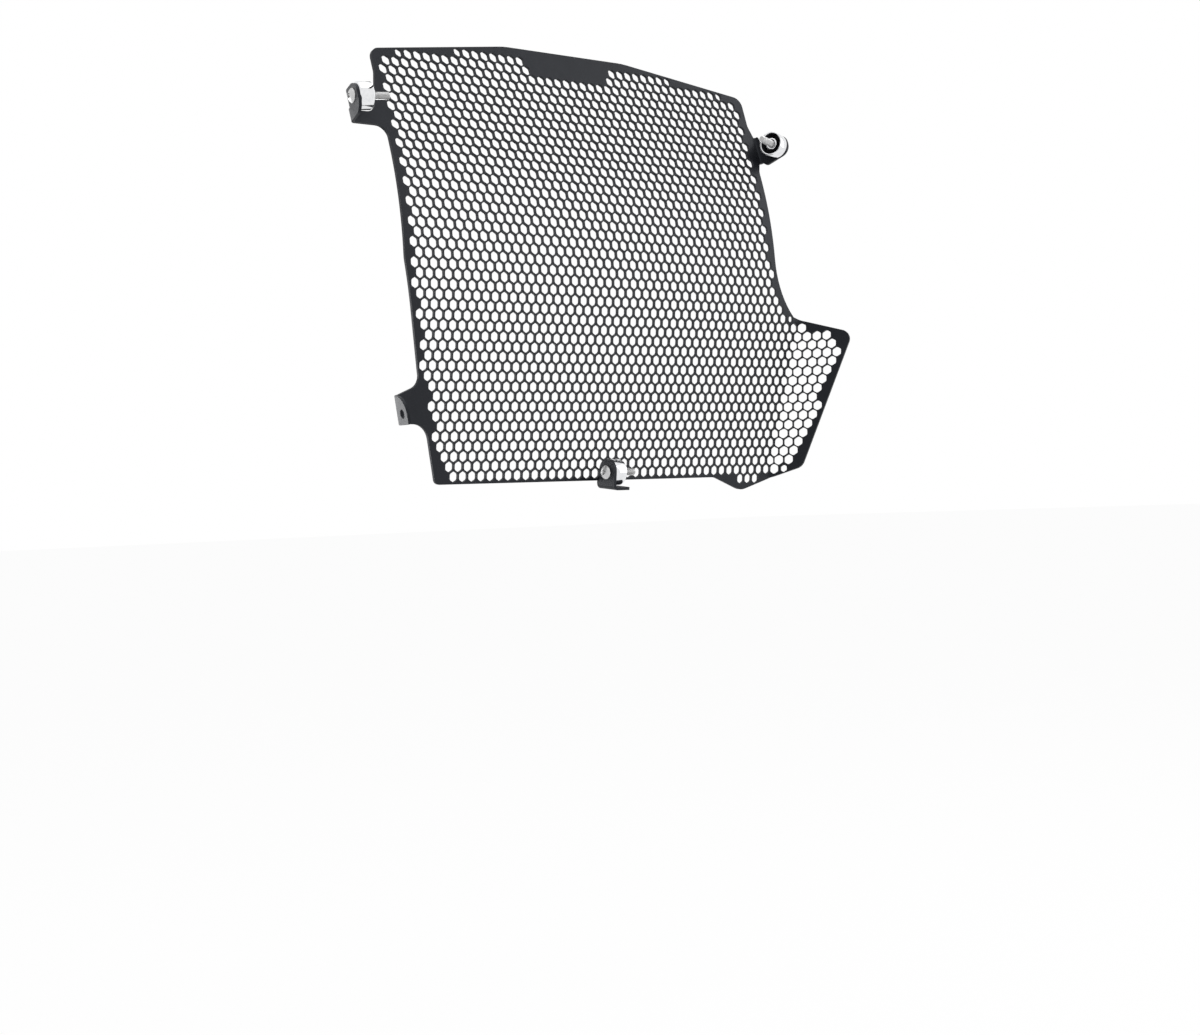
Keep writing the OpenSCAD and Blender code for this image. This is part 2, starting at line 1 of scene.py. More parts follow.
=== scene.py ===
"""A motorcycle radiator guard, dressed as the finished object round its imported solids.

The sheet is made as in the workshop: a flat blank with its honeycomb of holes, which is then folded at its bends
and rolled. Sizes are worked in millimetres on the flat blank, seen from behind: "side" runs to the right, "rise"
runs up and "lift" stands out of the sheet's rear face. Finished pieces are in metres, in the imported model's frame.
"""
import json
import math
from types import SimpleNamespace

import bmesh
import bpy
import numpy as np
from bpy.props import FloatProperty, FloatVectorProperty, IntProperty, PointerProperty
from bpy.types import Operator, Panel, PropertyGroup
from mathutils import Euler, Matrix, Vector

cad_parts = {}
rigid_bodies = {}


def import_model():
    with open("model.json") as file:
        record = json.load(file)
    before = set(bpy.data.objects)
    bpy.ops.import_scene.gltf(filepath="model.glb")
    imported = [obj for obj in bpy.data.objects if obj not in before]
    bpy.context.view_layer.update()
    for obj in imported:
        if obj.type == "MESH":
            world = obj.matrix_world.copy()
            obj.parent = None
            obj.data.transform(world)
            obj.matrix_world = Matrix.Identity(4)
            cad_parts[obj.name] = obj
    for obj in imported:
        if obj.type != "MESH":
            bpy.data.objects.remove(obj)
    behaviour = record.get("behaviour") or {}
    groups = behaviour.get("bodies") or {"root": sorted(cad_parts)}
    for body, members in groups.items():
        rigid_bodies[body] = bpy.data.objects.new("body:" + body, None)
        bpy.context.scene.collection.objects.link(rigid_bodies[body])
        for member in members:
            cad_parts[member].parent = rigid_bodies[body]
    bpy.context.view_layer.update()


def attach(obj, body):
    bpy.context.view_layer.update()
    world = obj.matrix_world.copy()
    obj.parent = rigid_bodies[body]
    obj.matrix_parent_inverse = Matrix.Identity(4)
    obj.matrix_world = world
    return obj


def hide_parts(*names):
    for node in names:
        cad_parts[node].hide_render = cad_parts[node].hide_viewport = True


bl_info = {
    "name": "Radiator Guard",
    "version": (1, 0, 0),
    "blender": (4, 5, 0),
    "location": "3D View > Sidebar > Guard",
    "description": "Builds a folded honeycomb radiator guard with its screws and collars",
    "category": "Object",
}

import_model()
MM = 0.001
HAIR = 0.02  # a hair's breadth in millimetres, too little to see
WELD = 0.002  # vertices this near in millimetres are one


def length(name, millimetres, description):
    """A length of the object, kept in metres."""
    return FloatProperty(name=name, description=description, default=millimetres * MM, min=0,
                         unit="LENGTH", subtype="DISTANCE", precision=5)


def angle(name, degrees, description):
    return FloatProperty(name=name, description=description, default=math.radians(degrees), subtype="ANGLE")


def colour(name, rgb, description):
    return FloatVectorProperty(name=name, description=description, default=rgb, size=3, min=0, max=1, subtype="COLOR")


def factor(name, value, description):
    return FloatProperty(name=name, description=description, default=value, min=0, max=1, subtype="FACTOR")


class GuardSheetSizes(PropertyGroup):
    """The sheet: its outline, its curve and its wing"""
    thickness: length("Thickness", 2, "Thickness of the sheet")
    side_half: length("Half width", 165, "Half the distance between the straight side edges")
    top_rise: length("Top", 158.7, "Rise of the top edge")
    top_half: length("Level top", 53, "Half the length of the level part of the top edge")
    top_r: length("Top turn", 60, "Radius where the top edge turns down")
    shoulder_rise: length("Shoulder", 143.4, "Rise of the two upper corners")
    shoulder_r: length("Shoulder radius", 7.5, "Radius of the two upper corners")
    knee_rise: length("Knee", 2, "Rise where the left edge starts to run in")
    waist_in: length("Waist", 11, "How far the left edge has run in at the waist")
    waist_drop: length("Waist drop", 69.2, "Drop of the waist below the middle")
    foot_in: length("Foot", 26.7, "How far the lower left corner lies inside the side edge")
    foot_drop: length("Foot drop", 141.3, "Drop of the bottom edge")
    foot_r: length("Foot radius", 4, "Radius of the lower left corner")
    root_r: length("Root radius", 8, "Radius of the hollow corners beside the arms")
    bend_r: length("Bend radius", 2.5, "Radius of the small bends, on the middle surface")
    roll_r: length("Roll radius", 264, "Radius of the curve of the sheet's middle")
    roll_top: length("Roll top", 78, "Rise where the rolled part ends")
    roll_drop: length("Roll drop", 30, "Drop where the rolled part ends")
    fold_side: length("Wing fold", 182.8, "Side distance of the wing's fold line")
    fold_drop: length("Wing fold drop", 60, "Drop of the fold line's reference point")
    fold_lean: angle("Wing fold lean", 11.8, "Lean of the fold line, its top outwards")
    fold_turn: angle("Wing turn", 63, "Angle that the wing is folded back by")
    fold_r: length("Wing bend radius", 5, "Radius of the wing's bend")
    bulge_start: length("Bulge start", 108.7, "Side distance where the bottom edge starts to drop")
    bulge_side: length("Bulge", 135.4, "Side distance of the lowest point")
    bulge_drop: length("Bulge drop", 151.5, "Drop of the lowest point")
    bulge_r: length("Bulge radius", 14, "Radius of the bulge's turns")
    wing_low_side: length("Wing low side", 190.3, "Side distance of the wing's lower corner")
    wing_low_drop: length("Wing low drop", 135.7, "Drop of the wing's lower corner")
    wing_low_r: length("Wing low radius", 8, "Radius of the wing's lower corner")
    wing_high_side: length("Wing high side", 229.6, "Side distance of the wing's upper corner")
    wing_high_drop: length("Wing high drop", 38.4, "Drop of the wing's upper corner")
    wing_high_r: length("Wing high radius", 6.8, "Radius of the wing's upper corner")
    flare_rise: length("Flare", 17, "Rise where the side edge starts to flare out")
    flare_r: length("Flare radius", 57, "Radius of the flare")
    flare_side: length("Flare end", 182.7, "Side distance where the flare meets the wing")
    flare_drop: length("Flare end drop", 24.4, "Drop where the flare meets the wing")
    edge_round: length("Edge chamfer", 0.18, "Width of the broken edge all round the sheet")


class GuardHoneycombSizes(PropertyGroup):
    """The honeycomb, and the plain rim that each edge of the sheet keeps to the middles of its holes"""
    pitch: length("Pitch", 7.5, "Distance between the middles of neighbouring holes")
    web: length("Web", 0.9, "Width of the web between two holes")
    corner: length("Corner", 0.55, "Length cut off a hole's sides at its softened corners")
    rim_top: length("Top rim", 3.1, "Least distance of a hole's middle from the sloping top edges")
    rim_side: length("Side rim", 5.6, "The same from the straight side edges")
    rim_foot: length("Foot rim", 5.8, "The same from the lower left edge")
    rim_wing: length("Wing rim", 5.25, "The same from the wing's free edge")
    rim_low: length("Low rim", 4.5, "The same from the bottom edge, the knee and the wing's top")
    rim_flare: length("Flare rim", 2.8, "The same from the flare and the bulge")
    least_rim: length("Least rim", 0.45, "Sheet that is left between a hole and the outline, where holes crowd it")
    plain_half: length("Plain patch", 35.6, "Half the length of the plain patch at the top")
    plain_rise: length("Plain patch rise", 139.6, "Rise of the plain patch's lower edge")


class GuardEarSizes(PropertyGroup):
    """The three ears and the bottom bracket that the guard is fastened by"""
    left_rise: length("Left arm", 88.9, "Rise of the upper left arm's lower edge")
    left_h: length("Left arm height", 8.5, "Height of the upper left arm")
    left_reach: length("Left arm reach", 25.5, "Length of the arm to the ear's own plane")
    left_turn: angle("Left ear turn", 79, "Angle that the upper left ear is folded back by")
    left_ear_l: length("Left ear", 18, "Length of the upper left ear")
    left_ear_h: length("Left ear height", 20.6, "Height of the upper left ear")
    left_hole_l: length("Left hole", 10.4, "Distance of its hole from the fold")
    left_hole_h: length("Left hole height", 13, "Height of its hole above the lower edge")
    left_root_rise: length("Left root", 127, "Rise where the side edge starts to widen to the arm")
    left_root_out: length("Left root out", 7, "How far the side edge has widened at the arm")
    right_low: length("Right fold low", 91.2, "Rise of the right ear's fold, lower end")
    right_high: length("Right fold high", 112, "Rise of the right ear's fold, upper end")
    right_start: length("Right fold start", 4.4, "How far the fold's lower end stands outside the side edge")
    right_out: length("Right fold out", 5, "How far the fold's upper end stands outside the side edge")
    right_foot_rise: length("Right foot", 84, "Rise where the side edge widens to the fold, from below")
    right_root_rise: length("Right root", 121, "Rise where the side edge widens to the fold, from above")
    right_turn: angle("Right ear turn", 71.6, "Angle that the upper right ear is folded back by")
    right_hole_l: length("Right hole", 16.2, "Distance of its hole from the fold")
    right_hole_h: length("Right hole height", 7.4, "Distance of its hole from the fold's lower end")
    right_end_l: length("Right end", 8.8, "Length of the ear past its hole")
    right_tip_half: length("Right tip", 7.4, "Half the height of the ear at its end")
    right_belly_l: length("Right belly", 4.6, "Distance of the ear's lowest point from the fold")
    right_belly: length("Right belly drop", 3.1, "How far the ear's lower edge hangs there")
    right_waist_l: length("Right waist", 4.2, "Distance from the fold where the upper edge has come down")
    right_waist_h: length("Right waist height", 16.6, "Height of the ear's upper edge there")
    low_drop: length("Low arm", 102.6, "Drop of the lower left arm's lower edge")
    low_h: length("Low arm height", 18.8, "Height of the lower left arm at its fold")
    low_side: length("Low ear", 166.9, "Side distance of the lower left ear's fold, lower end")
    low_lean: angle("Low fold lean", 12.5, "Lean of that fold, its top outwards")
    low_root_drop: length("Low root", 77, "Drop of the arm's upper edge where it leaves the sheet")
    low_turn: angle("Low ear turn", 80, "Angle that the lower left ear is folded back by")
    low_ear_l: length("Low ear length", 16.4, "Length of the lower left ear")
    low_hole_l: length("Low hole", 9.4, "Distance of its hole from the fold")
    low_hole_h: length("Low hole height", 7.9, "Height of its hole above the lower corner")
    low_bore: length("Low bore", 6, "Diameter of the lower left ear's hole")
    low_ear_rise: length("Low ear rise", 1.8, "How far the ear's lower edge has risen at its free end")
    low_end_r: length("Low end radius", 11.5, "Radius of the ear's upper free corner")
    ear_r: length("Ear corner", 7.5, "Radius of the other free corners")
    base_side: length("Base ear", 3, "Side distance of the bracket's upright ear, to the left")
    base_hole_l: length("Base hole", 12, "Distance of its hole behind the sheet")
    base_hole_h: length("Base hole height", 6.5, "Height of its hole above the bottom edge")
    base_end_r: length("Base end", 9, "Radius of the upright ear round its hole")
    shelf_w: length("Shelf", 11, "Width of the shelf beside the upright ear")
    shelf_space: length("Shelf space", 0.8, "Space between the collar and the shelf")
    screw_bore: length("Screw bore", 5.6, "Diameter of the holes that the screws go through")


class GuardFastenerSizes(PropertyGroup):
    """The screws and the collars that they hold"""
    seat: length("Seat", 0.95, "Distance of a head's or a collar's seat from the ear's middle surface")
    base_seat: length("Base seat", 0.9, "The same on the bracket's upright ear")
    shank_d: length("Shank", 5, "Diameter of the screw's shank")
    shank_l: length("Shank length", 11.5, "Length of the shank under the head")
    screw_l: length("Screw length", 25, "Length of the screw under its head")
    thread_d: length("Thread", 4.9, "Diameter over the thread's crests")
    thread_pitch: length("Thread pitch", 0.8, "Distance between two crests of the thread")
    thread_depth: length("Thread depth", 0.45, "Depth of the thread")
    head_d: length("Head", 9.5, "Diameter of the screw's head")
    head_h: length("Head height", 2.75, "Height of the screw's head")
    head_lip: length("Head rim", 0.4, "Height of the straight rim under the dome")
    socket_w: length("Socket", 3, "Width across flats of the hexagon socket")
    socket_depth: length("Socket depth", 1.6, "Depth of the socket")
    socket_mouth: length("Socket mouth", 0.2, "Depth of the cone at the socket's mouth")
    collar_d: length("Collar", 17.7, "Outer diameter of the collar")
    collar_l: length("Collar length", 9.5, "Length of the collar")
    collar_wall: length("Collar wall", 1.2, "Wall of the collar")
    collar_chamfer: length("Collar chamfer", 0.8, "Chamfer round the collar's base")
    sleeve_d: length("Sleeve", 8.6, "Outer diameter of the collar's inner sleeve")
    sleeve_short: length("Sleeve end", 1, "How far the sleeve stops short of the rim")
    edge_r: length("Turned edge", 0.16, "Width of the softened edges of turned pieces")
    facets: IntProperty(name="Facets", description="Facets round a turned piece", default=72, min=24, max=128)


class GuardFinishes(PropertyGroup):
    """Colours and gloss of the finishes"""
    coat: colour("Coat", (0.0075, 0.0082, 0.0105), "Colour of the satin coat")
    coat_dust: colour("Coat, worn", (0.014, 0.015, 0.0185), "Colour of the coat where it is slightly chalky")
    coat_specks: colour("Coat specks", (0.055, 0.055, 0.057), "Colour of the dust specks on the coat")
    coat_roughness: factor("Coat roughness", 0.42, "Roughness of the coat")
    steel: colour("Screw steel", (0.72, 0.72, 0.71), "Colour of the screws")
    steel_dull: colour("Screw steel, dull", (0.52, 0.515, 0.50), "Colour of the screws' dull spots")
    steel_roughness: factor("Steel roughness", 0.24, "Roughness of the screws")
    bright: colour("Collar metal", (0.83, 0.835, 0.845), "Colour of the polished collars")
    bright_dull: colour("Collar metal, dull", (0.70, 0.71, 0.73), "Colour of the collars where they are smeared")
    bright_roughness: factor("Collar roughness", 0.07, "Roughness of the polished collars")
    # Painted shade: the near-black inside of the collars' cups stands in for the shade in their hollows; the second
    # colour is its paler patches
    cup: colour("Cup inside", (0.012, 0.012, 0.0135), "Colour of the dark film inside the collars")
    cup_shade_pale: colour("Cup inside, worn", (0.032, 0.032, 0.036), "Colour of that film where it is worn")


class GuardStudio(PropertyGroup):
    """Floor, light and camera"""
    floor_drop: length("Floor", 430, "Depth of the floor below the guard's origin")
    backdrop: colour("Backdrop", (1.0, 1.0, 1.0), "Colour of the floor and the backdrop")
    lens: FloatProperty(name="Lens", description="Focal length in millimetres", default=61.214, min=10, max=200)


def in_mm(group):
    """The group's sizes as plain numbers: lengths in millimetres, angles in radians."""
    values = {}
    for name in group.__annotations__:
        value = getattr(group, name)
        is_length = group.bl_rna.properties[name].unit == "LENGTH"
        values[name] = round(value / MM, 4) if is_length else value
    return SimpleNamespace(**values)


def all_sizes():
    scene = bpy.context.scene
    return (in_mm(scene.guard_sheet), in_mm(scene.guard_honeycomb), in_mm(scene.guard_ears),
            in_mm(scene.guard_fasteners))


# Places of the pattern, as row and column, that stay plain: in the lower left corner and at the bulge's start
LEFT_OUT = ((-21, -18), (-22, 17))
# The place that has a hole although the flare and the wing's top crowd it
TAKEN_IN = ((-4, 24),)


# Work at the bench: selecting, tracing and finishing

def clear_selection():
    if bpy.context.mode != "OBJECT":
        bpy.ops.object.mode_set(mode="OBJECT")
    for other in bpy.context.view_layer.objects:
        if other.select_get():
            other.select_set(False)


def pick(*pieces):
    """Only these pieces are selected, and the first one is active."""
    clear_selection()
    for piece in pieces:
        piece.select_set(True)
    bpy.context.view_layer.objects.active = pieces[0]
    return pieces[0]


def edit(piece, chosen=True):
    """The piece is opened in edit mode, with all of it selected or nothing."""
    pick(piece)
    bpy.ops.object.mode_set(mode="EDIT")
    bpy.ops.mesh.select_mode(type="VERT")
    bpy.ops.mesh.select_all(action="SELECT" if chosen else "DESELECT")


def close():
    bpy.ops.object.mode_set(mode="OBJECT")


def named(name):
    piece = bpy.context.active_object
    piece.name = name
    piece.data.name = name
    return piece


def join(name, *pieces):
    pick(*pieces)
    bpy.ops.object.join()
    return named(name)


def merge_doubles(piece, distance=WELD):
    edit(piece)
    bpy.ops.mesh.remove_doubles(threshold=distance)
    close()


def finish_modifier(piece, kind, **settings):
    """A modifier is added, set and applied."""
    pick(piece)
    modifier = piece.modifiers.new(kind.title(), kind)
    for name, value in settings.items():
        setattr(modifier, name, value)
    bpy.ops.object.modifier_apply(modifier=modifier.name)


def trace(name, points, closed=True):
    """A wire drawn through the points, its last vertex extruded from each to the next."""
    clear_selection()
    bpy.ops.mesh.primitive_plane_add(size=1)
    wire = named(name)
    edit(wire)
    bpy.ops.mesh.merge(type="CENTER")
    stops = [Vector((*point, 0)) if len(point) == 2 else Vector(point) for point in points]
    if closed:
        stops.append(stops[0])
    bpy.ops.transform.translate(value=stops[0])
    for here, there in zip(stops, stops[1:]):
        bpy.ops.mesh.extrude_vertices_move(TRANSFORM_OT_translate={"value": there - here})
    if closed:
        bpy.ops.mesh.select_all(action="SELECT")
        bpy.ops.mesh.remove_doubles(threshold=WELD)
    close()
    return wire


def places(piece):
    """The piece's vertices as an array, one row each."""
    flat = np.empty(len(piece.data.vertices) * 3)
    piece.data.vertices.foreach_get("co", flat)
    return flat.reshape(-1, 3)


def move_vertices(piece, array):
    piece.data.vertices.foreach_set("co", np.ascontiguousarray(array).ravel())
    piece.data.update()


def choose(piece, kind, test):
    """In edit mode, only the faces, edges or vertices that pass the test are selected."""
    bpy.ops.mesh.select_mode(type={"faces": "FACE", "edges": "EDGE", "verts": "VERT"}[kind])
    bpy.ops.mesh.select_all(action="DESELECT")
    mesh = bmesh.from_edit_mesh(piece.data)
    found = 0
    for element in getattr(mesh, kind):
        if test(element):
            element.select_set(True)
            found += 1
    mesh.select_flush_mode()
    bmesh.update_edit_mesh(piece.data)
    return found


def shade(piece, degrees):
    pick(piece)
    bpy.ops.object.shade_smooth_by_angle(angle=math.radians(degrees))


def hand_over(piece, name, node):
    """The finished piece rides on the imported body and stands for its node."""
    piece.name = name
    piece.data.name = name
    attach(piece, "root")
    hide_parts(node)


def dress(piece, *finishes):
    piece.data.materials.clear()
    for material in finishes:
        piece.data.materials.append(material)


# The flat blank

def set_back(radius, turn):
    """Distance from a small bend's start to the plane that it turns into."""
    return radius * math.tan(turn / 2)


def arc_corner(before, corner, after, step=math.radians(10)):
    """A corner [side, rise, radius] of an outline, as points on its arc."""
    b, r = np.array(corner[:2], float), corner[2]
    if not r:
        return [tuple(b)]
    u, w = np.array(before[:2]) - b, np.array(after[:2]) - b
    u, w = u / np.linalg.norm(u), w / np.linalg.norm(w)
    half = math.acos(max(-1, min(1, u @ w))) / 2
    centre = b + (u + w) / np.linalg.norm(u + w) * r / math.sin(half)
    start = b + u * r / math.tan(half) - centre
    turn = (math.pi - 2 * half) * (1 if u[0] * w[1] - u[1] * w[0] < 0 else -1)
    first = math.atan2(start[1], start[0])
    steps = max(2, math.ceil(abs(turn) / step))
    return [tuple(centre + r * np.array([math.cos(first + turn * i / steps), math.sin(first + turn * i / steps)]))
            for i in range(steps + 1)]


def rounded(corners):
    count = len(corners)
    return [point for i in range(count)
            for point in arc_corner(corners[i - 1], corners[i], corners[(i + 1) % count])]


class Fold:
    """A bend of the blank: start and across lie on the blank, and x runs across the bend from its start."""

    def __init__(self, start, across, radius, turn, low, high):
        self.start = np.array(start, float)
        self.across = np.array(across, float) / np.linalg.norm(across)
        self.along = np.array([-self.across[1], self.across[0]])
        self.radius, self.turn, self.low, self.high = radius, turn, low, high
        self.length = radius * turn

    def flat(self, beyond, along):
        """The place on the blank of a point past the bend's end."""
        return tuple(self.start + self.across * (self.length + beyond) + self.along * along)

    def local(self, sides_rises):
        offset = np.asarray(sides_rises) - self.start
        return offset @ self.across, offset @ self.along

    def bend(self, points):
        x, y = self.local(points[:, :2])
        lift = points[:, 2]
        turned = np.minimum(x / self.radius, self.turn)
        beyond = np.maximum(x - self.length, 0)
        new_x = (self.radius - lift) * np.sin(turned) + beyond * np.cos(turned)
        new_lift = self.radius - (self.radius - lift) * np.cos(turned) + beyond * np.sin(turned)
        bent = (x > 0) & (y > self.low) & (y < self.high)
        moved = self.start + np.outer(new_x, self.across) + np.outer(y, self.along)
        out = points.copy()
        out[bent, :2] = moved[bent]
        out[bent, 2] = new_lift[bent]
        return out


class Blank:
    """The sheet's flat blank: its corners, its folds, its holes, and how it is folded, rolled and placed."""

    def __init__(self, s, h, e, f):
        self.s, self.h = s, h
        lean_r = math.atan2(e.right_out - e.right_start, e.right_high - e.right_low)
        right_across = np.array([math.cos(lean_r), -math.sin(lean_r)])
        back_r = set_back(s.bend_r, e.right_turn)
        right_low = np.array([s.side_half + e.right_start, e.right_low]) - back_r * right_across
        right_high = np.array([s.side_half + e.right_out, e.right_high]) - back_r * right_across
        right_l = math.hypot(e.right_out - e.right_start, e.right_high - e.right_low)
        back_l, back_d = set_back(s.bend_r, e.left_turn), set_back(s.bend_r, e.low_turn)
        low_across = np.array([-math.cos(e.low_lean), -math.sin(e.low_lean)])
        low_along = np.array([-math.sin(e.low_lean), math.cos(e.low_lean)])
        low_corner = np.array([-e.low_side, -e.low_drop]) - back_d * low_across
        low_top = low_corner + e.low_h * low_along
        shelf_drop = s.foot_drop - e.base_hole_h + f.collar_d / 2 + e.shelf_space + s.thickness / 2
        quarter = math.pi / 2
        across = (math.cos(s.fold_lean), -math.sin(s.fold_lean))
        fold_l = s.fold_r * s.fold_turn
        fold_start = np.array([s.fold_side, -s.fold_drop]) - np.array(across) * fold_l / 2
        wide = s.wing_high_side
        self.wing = Fold(fold_start, across, s.fold_r, s.fold_turn, -wide, wide)
        # Left of the sheet x runs to the left, so that along runs down from an arm's upper edge
        self.left = Fold((back_l - s.side_half - e.left_reach, e.left_rise), (-1, 0), s.bend_r, e.left_turn,
                         -e.left_ear_h - 1, 1)
        self.right = Fold(right_low, right_across, s.bend_r, e.right_turn, -4, right_l + 2)
        self.low = Fold(low_corner, low_across, s.bend_r, e.low_turn, -e.low_h - 1, 1)
        base_left = s.bend_r - e.base_side
        self.tongue = Fold((base_left, s.bend_r - shelf_drop), (0, -1), s.bend_r, quarter, -s.bend_r - 2,
                           e.shelf_w + 1)
        shelf_start = s.bend_r - shelf_drop - self.tongue.length
        shelf_l = e.base_hole_l + e.base_end_r
        self.upright = Fold((base_left, shelf_start), (-1, 0), s.bend_r, quarter, -1, shelf_l)
        self.folds = [self.upright, self.tongue, self.left, self.right, self.low, self.wing]
        ear_h = e.base_hole_h + shelf_drop - s.foot_drop + e.base_end_r
        ear_start = s.bend_r

        def left_edge(drop):
            return (s.waist_in - s.side_half
                    + (s.foot_in - s.waist_in) * (drop - s.waist_drop) / (s.foot_drop - s.waist_drop))

        def left_ear(x, up, r):
            return (*self.left.flat(x, -up), r)

        def low_ear(x, up, r):
            return (*self.low.flat(x, -up), r)

        def shelf(x, r, left=None):
            """A point of the shelf, x behind its bend; left gives a height on the upright ear."""
            side = base_left + e.shelf_w if left is None else base_left - self.upright.length - left
            return (side, shelf_start - x, r)

        flare_turn = math.acos(1 - (s.flare_side - s.side_half) / s.flare_r)
        steps = 9
        flare = [(s.side_half + s.flare_r * (1 - math.cos(flare_turn * i / steps)),
                  s.flare_rise - s.flare_r * math.sin(flare_turn * i / steps), 0) for i in range(steps, -1, -1)]
        left_l, low_l = e.left_ear_l - back_l, e.low_ear_l - back_d
        right_end = e.right_hole_l + e.right_end_l - back_r
        soft = s.thickness / 2
        self.corners = [
            (s.foot_in - s.side_half, -s.foot_drop, s.foot_r),
            (base_left, -s.foot_drop, 0),
            (base_left, shelf_start - ear_start, 0),
            shelf(ear_start, e.ear_r, left=ear_h - s.bend_r),
            shelf(shelf_l - s.bend_r, e.ear_r, left=ear_h - s.bend_r),
            shelf(shelf_l - s.bend_r, soft),
            (base_left + e.shelf_w, -s.foot_drop, 0),
            (s.bulge_start, -s.foot_drop, s.bulge_r),
            (s.bulge_side, -s.bulge_drop, s.bulge_r),
            (s.wing_low_side, -s.wing_low_drop, s.wing_low_r),
            (s.wing_high_side, -s.wing_high_drop, s.wing_high_r),
            (s.flare_side, -s.flare_drop, 0),
            *flare,
            (s.side_half, e.right_foot_rise, s.root_r),
            (*right_low, 0),
            (*self.right.flat(soft, 0), 0),
            (*self.right.flat(e.right_belly_l - back_r, -e.right_belly), e.ear_r / 2),
            (*self.right.flat(right_end, e.right_hole_h - e.right_tip_half), e.ear_r),
            (*self.right.flat(right_end, e.right_hole_h + e.right_tip_half), e.ear_r),
            (*self.right.flat(e.right_waist_l - back_r, e.right_waist_h), e.ear_r / 2),
            (*self.right.flat(soft, right_l), 0),
            (*right_high, 0),
            (s.side_half, e.right_root_rise, s.root_r),
            (s.side_half, s.shoulder_rise, s.shoulder_r),
            (s.top_half, s.top_rise, s.top_r),
            (-s.top_half, s.top_rise, s.top_r),
            (-s.side_half, s.shoulder_rise, s.shoulder_r),
            (-s.side_half, e.left_root_rise, s.root_r),
            (-s.side_half - e.left_root_out, e.left_rise + e.left_h, s.root_r),
            left_ear(soft, e.left_h, soft / 4),
            left_ear(soft, e.left_ear_h, soft),
            left_ear(left_l, e.left_ear_h, e.ear_r),
            left_ear(left_l, 0, e.ear_r),
            (-s.side_half, e.left_rise, s.root_r),
            (-s.side_half, s.knee_rise, 3 * s.root_r),
            (s.waist_in - s.side_half, -s.waist_drop, 0),
            (left_edge(e.low_root_drop), -e.low_root_drop, s.root_r),
            (*low_top, 0),
            low_ear(low_l, e.low_h, e.low_end_r),
            low_ear(low_l, e.low_ear_rise, soft),
            low_ear(soft, 0, 0),
            (*low_corner, 0),
            (left_edge(e.low_drop), -e.low_drop, 1.5 * s.root_r),
        ]
        self.outline = rounded(self.corners)
        self.bores = {
            "upper_left": (self.left.flat(e.left_hole_l - back_l, -e.left_hole_h), e.screw_bore / 2),
            "upper_right": (self.right.flat(e.right_hole_l - back_r, e.right_hole_h), e.screw_bore / 2),
            "lower_left": (self.low.flat(e.low_hole_l - back_d, -e.low_hole_h), e.low_bore / 2),
            "lower_centre": ((base_left - self.upright.length - (e.base_hole_h + shelf_drop - s.foot_drop - s.bend_r),
                              shelf_start - (e.base_hole_l - s.bend_r)), e.screw_bore / 2),
        }
        # Straight sides of the sheet proper, without its arms, each with its plain rim
        ends = [
            ((s.foot_in - s.side_half, -s.foot_drop), h.rim_low),
            ((s.bulge_start, -s.foot_drop), h.rim_low),
            ((s.bulge_side, -s.bulge_drop), h.rim_flare),
            ((s.wing_low_side, -s.wing_low_drop), h.rim_wing),
            ((s.wing_high_side, -s.wing_high_drop), h.rim_low),
            ((s.flare_side, -s.flare_drop), h.rim_flare),
            *[(corner[:2], h.rim_flare) for corner in flare[:-1]],
            (flare[-1][:2], h.rim_side),
            ((s.side_half, s.shoulder_rise), h.rim_top),
            ((s.top_half, s.top_rise), h.rim_top),
            ((-s.top_half, s.top_rise), h.rim_top),
            ((-s.side_half, s.shoulder_rise), h.rim_side),
            ((-s.side_half, s.knee_rise), h.rim_low),
            ((s.waist_in - s.side_half, -s.waist_drop), h.rim_foot),
        ]
        self.starts = np.array([end[0] for end in ends], float)
        self.ends = np.roll(self.starts, -1, axis=0)
        self.rims = np.array([end[1] for end in ends])
        self.holes = self.hole_middles()
        # Place of the lower left ear's bore, which is the frame's origin
        self.origin = np.zeros(3)
        self.origin = self.placed(np.array([[*self.bores["lower_left"][0], 0.0]]))[0]

    def clearances(self, place):
        """Distance of a place from each side of the sheet, and whether it lies inside."""
        a, b = self.starts, self.ends
        share = np.clip(((place - a) * (b - a)).sum(1) / ((b - a) ** 2).sum(1), 0, 1)
        away = np.linalg.norm(place - a - share[:, None] * (b - a), axis=1)
        level = (a[:, 1] > place[1]) != (b[:, 1] > place[1])
        rise = np.where(b[:, 1] == a[:, 1], 1, b[:, 1] - a[:, 1])
        crossing = a[:, 0] + (b[:, 0] - a[:, 0]) * (place[1] - a[:, 1]) / rise
        return away, (level & (place[0] < crossing)).sum() % 2 == 1

    def hole_middles(self):
        """Middles of the holes: every place of the pattern that keeps each side's rim, but for the plain patch."""
        s, h = self.s, self.h
        step = h.pitch * math.sqrt(3) / 2
        rows = range(-math.floor(s.bulge_drop / step), math.floor(s.top_rise / step) + 1)
        columns = range(-math.ceil(s.side_half / h.pitch) - 1, math.ceil(s.wing_high_side / h.pitch) + 1)
        middles = []
        for row in rows:
            for column in columns:
                place = np.array([(column + (row % 2) / 2) * h.pitch, row * step])
                if place[1] > h.plain_rise and abs(place[0]) < h.plain_half or (row, column) in LEFT_OUT:
                    continue
                away, inside = self.clearances(place)
                if inside and (away >= self.rims).all() or (row, column) in TAKEN_IN:
                    middles.append((row, column, *place, away.min()))
        return middles

    def placed(self, points):
        """Points of the flat blank, in millimetres, folded, rolled and put in the frame."""
        for fold in self.folds:
            points = fold.bend(points)
        s = self.s
        side, rise, lift = points.T
        held = np.clip(rise, -s.roll_drop, s.roll_top)
        turn = held / s.roll_r
        height = s.roll_r * np.sin(turn) + (rise - held) * np.cos(turn) + lift * np.sin(turn)
        back = -s.roll_r * (1 - np.cos(turn)) - (rise - held) * np.sin(turn) + lift * np.cos(turn)
        return np.stack([-side, back, height], axis=1) - self.origin

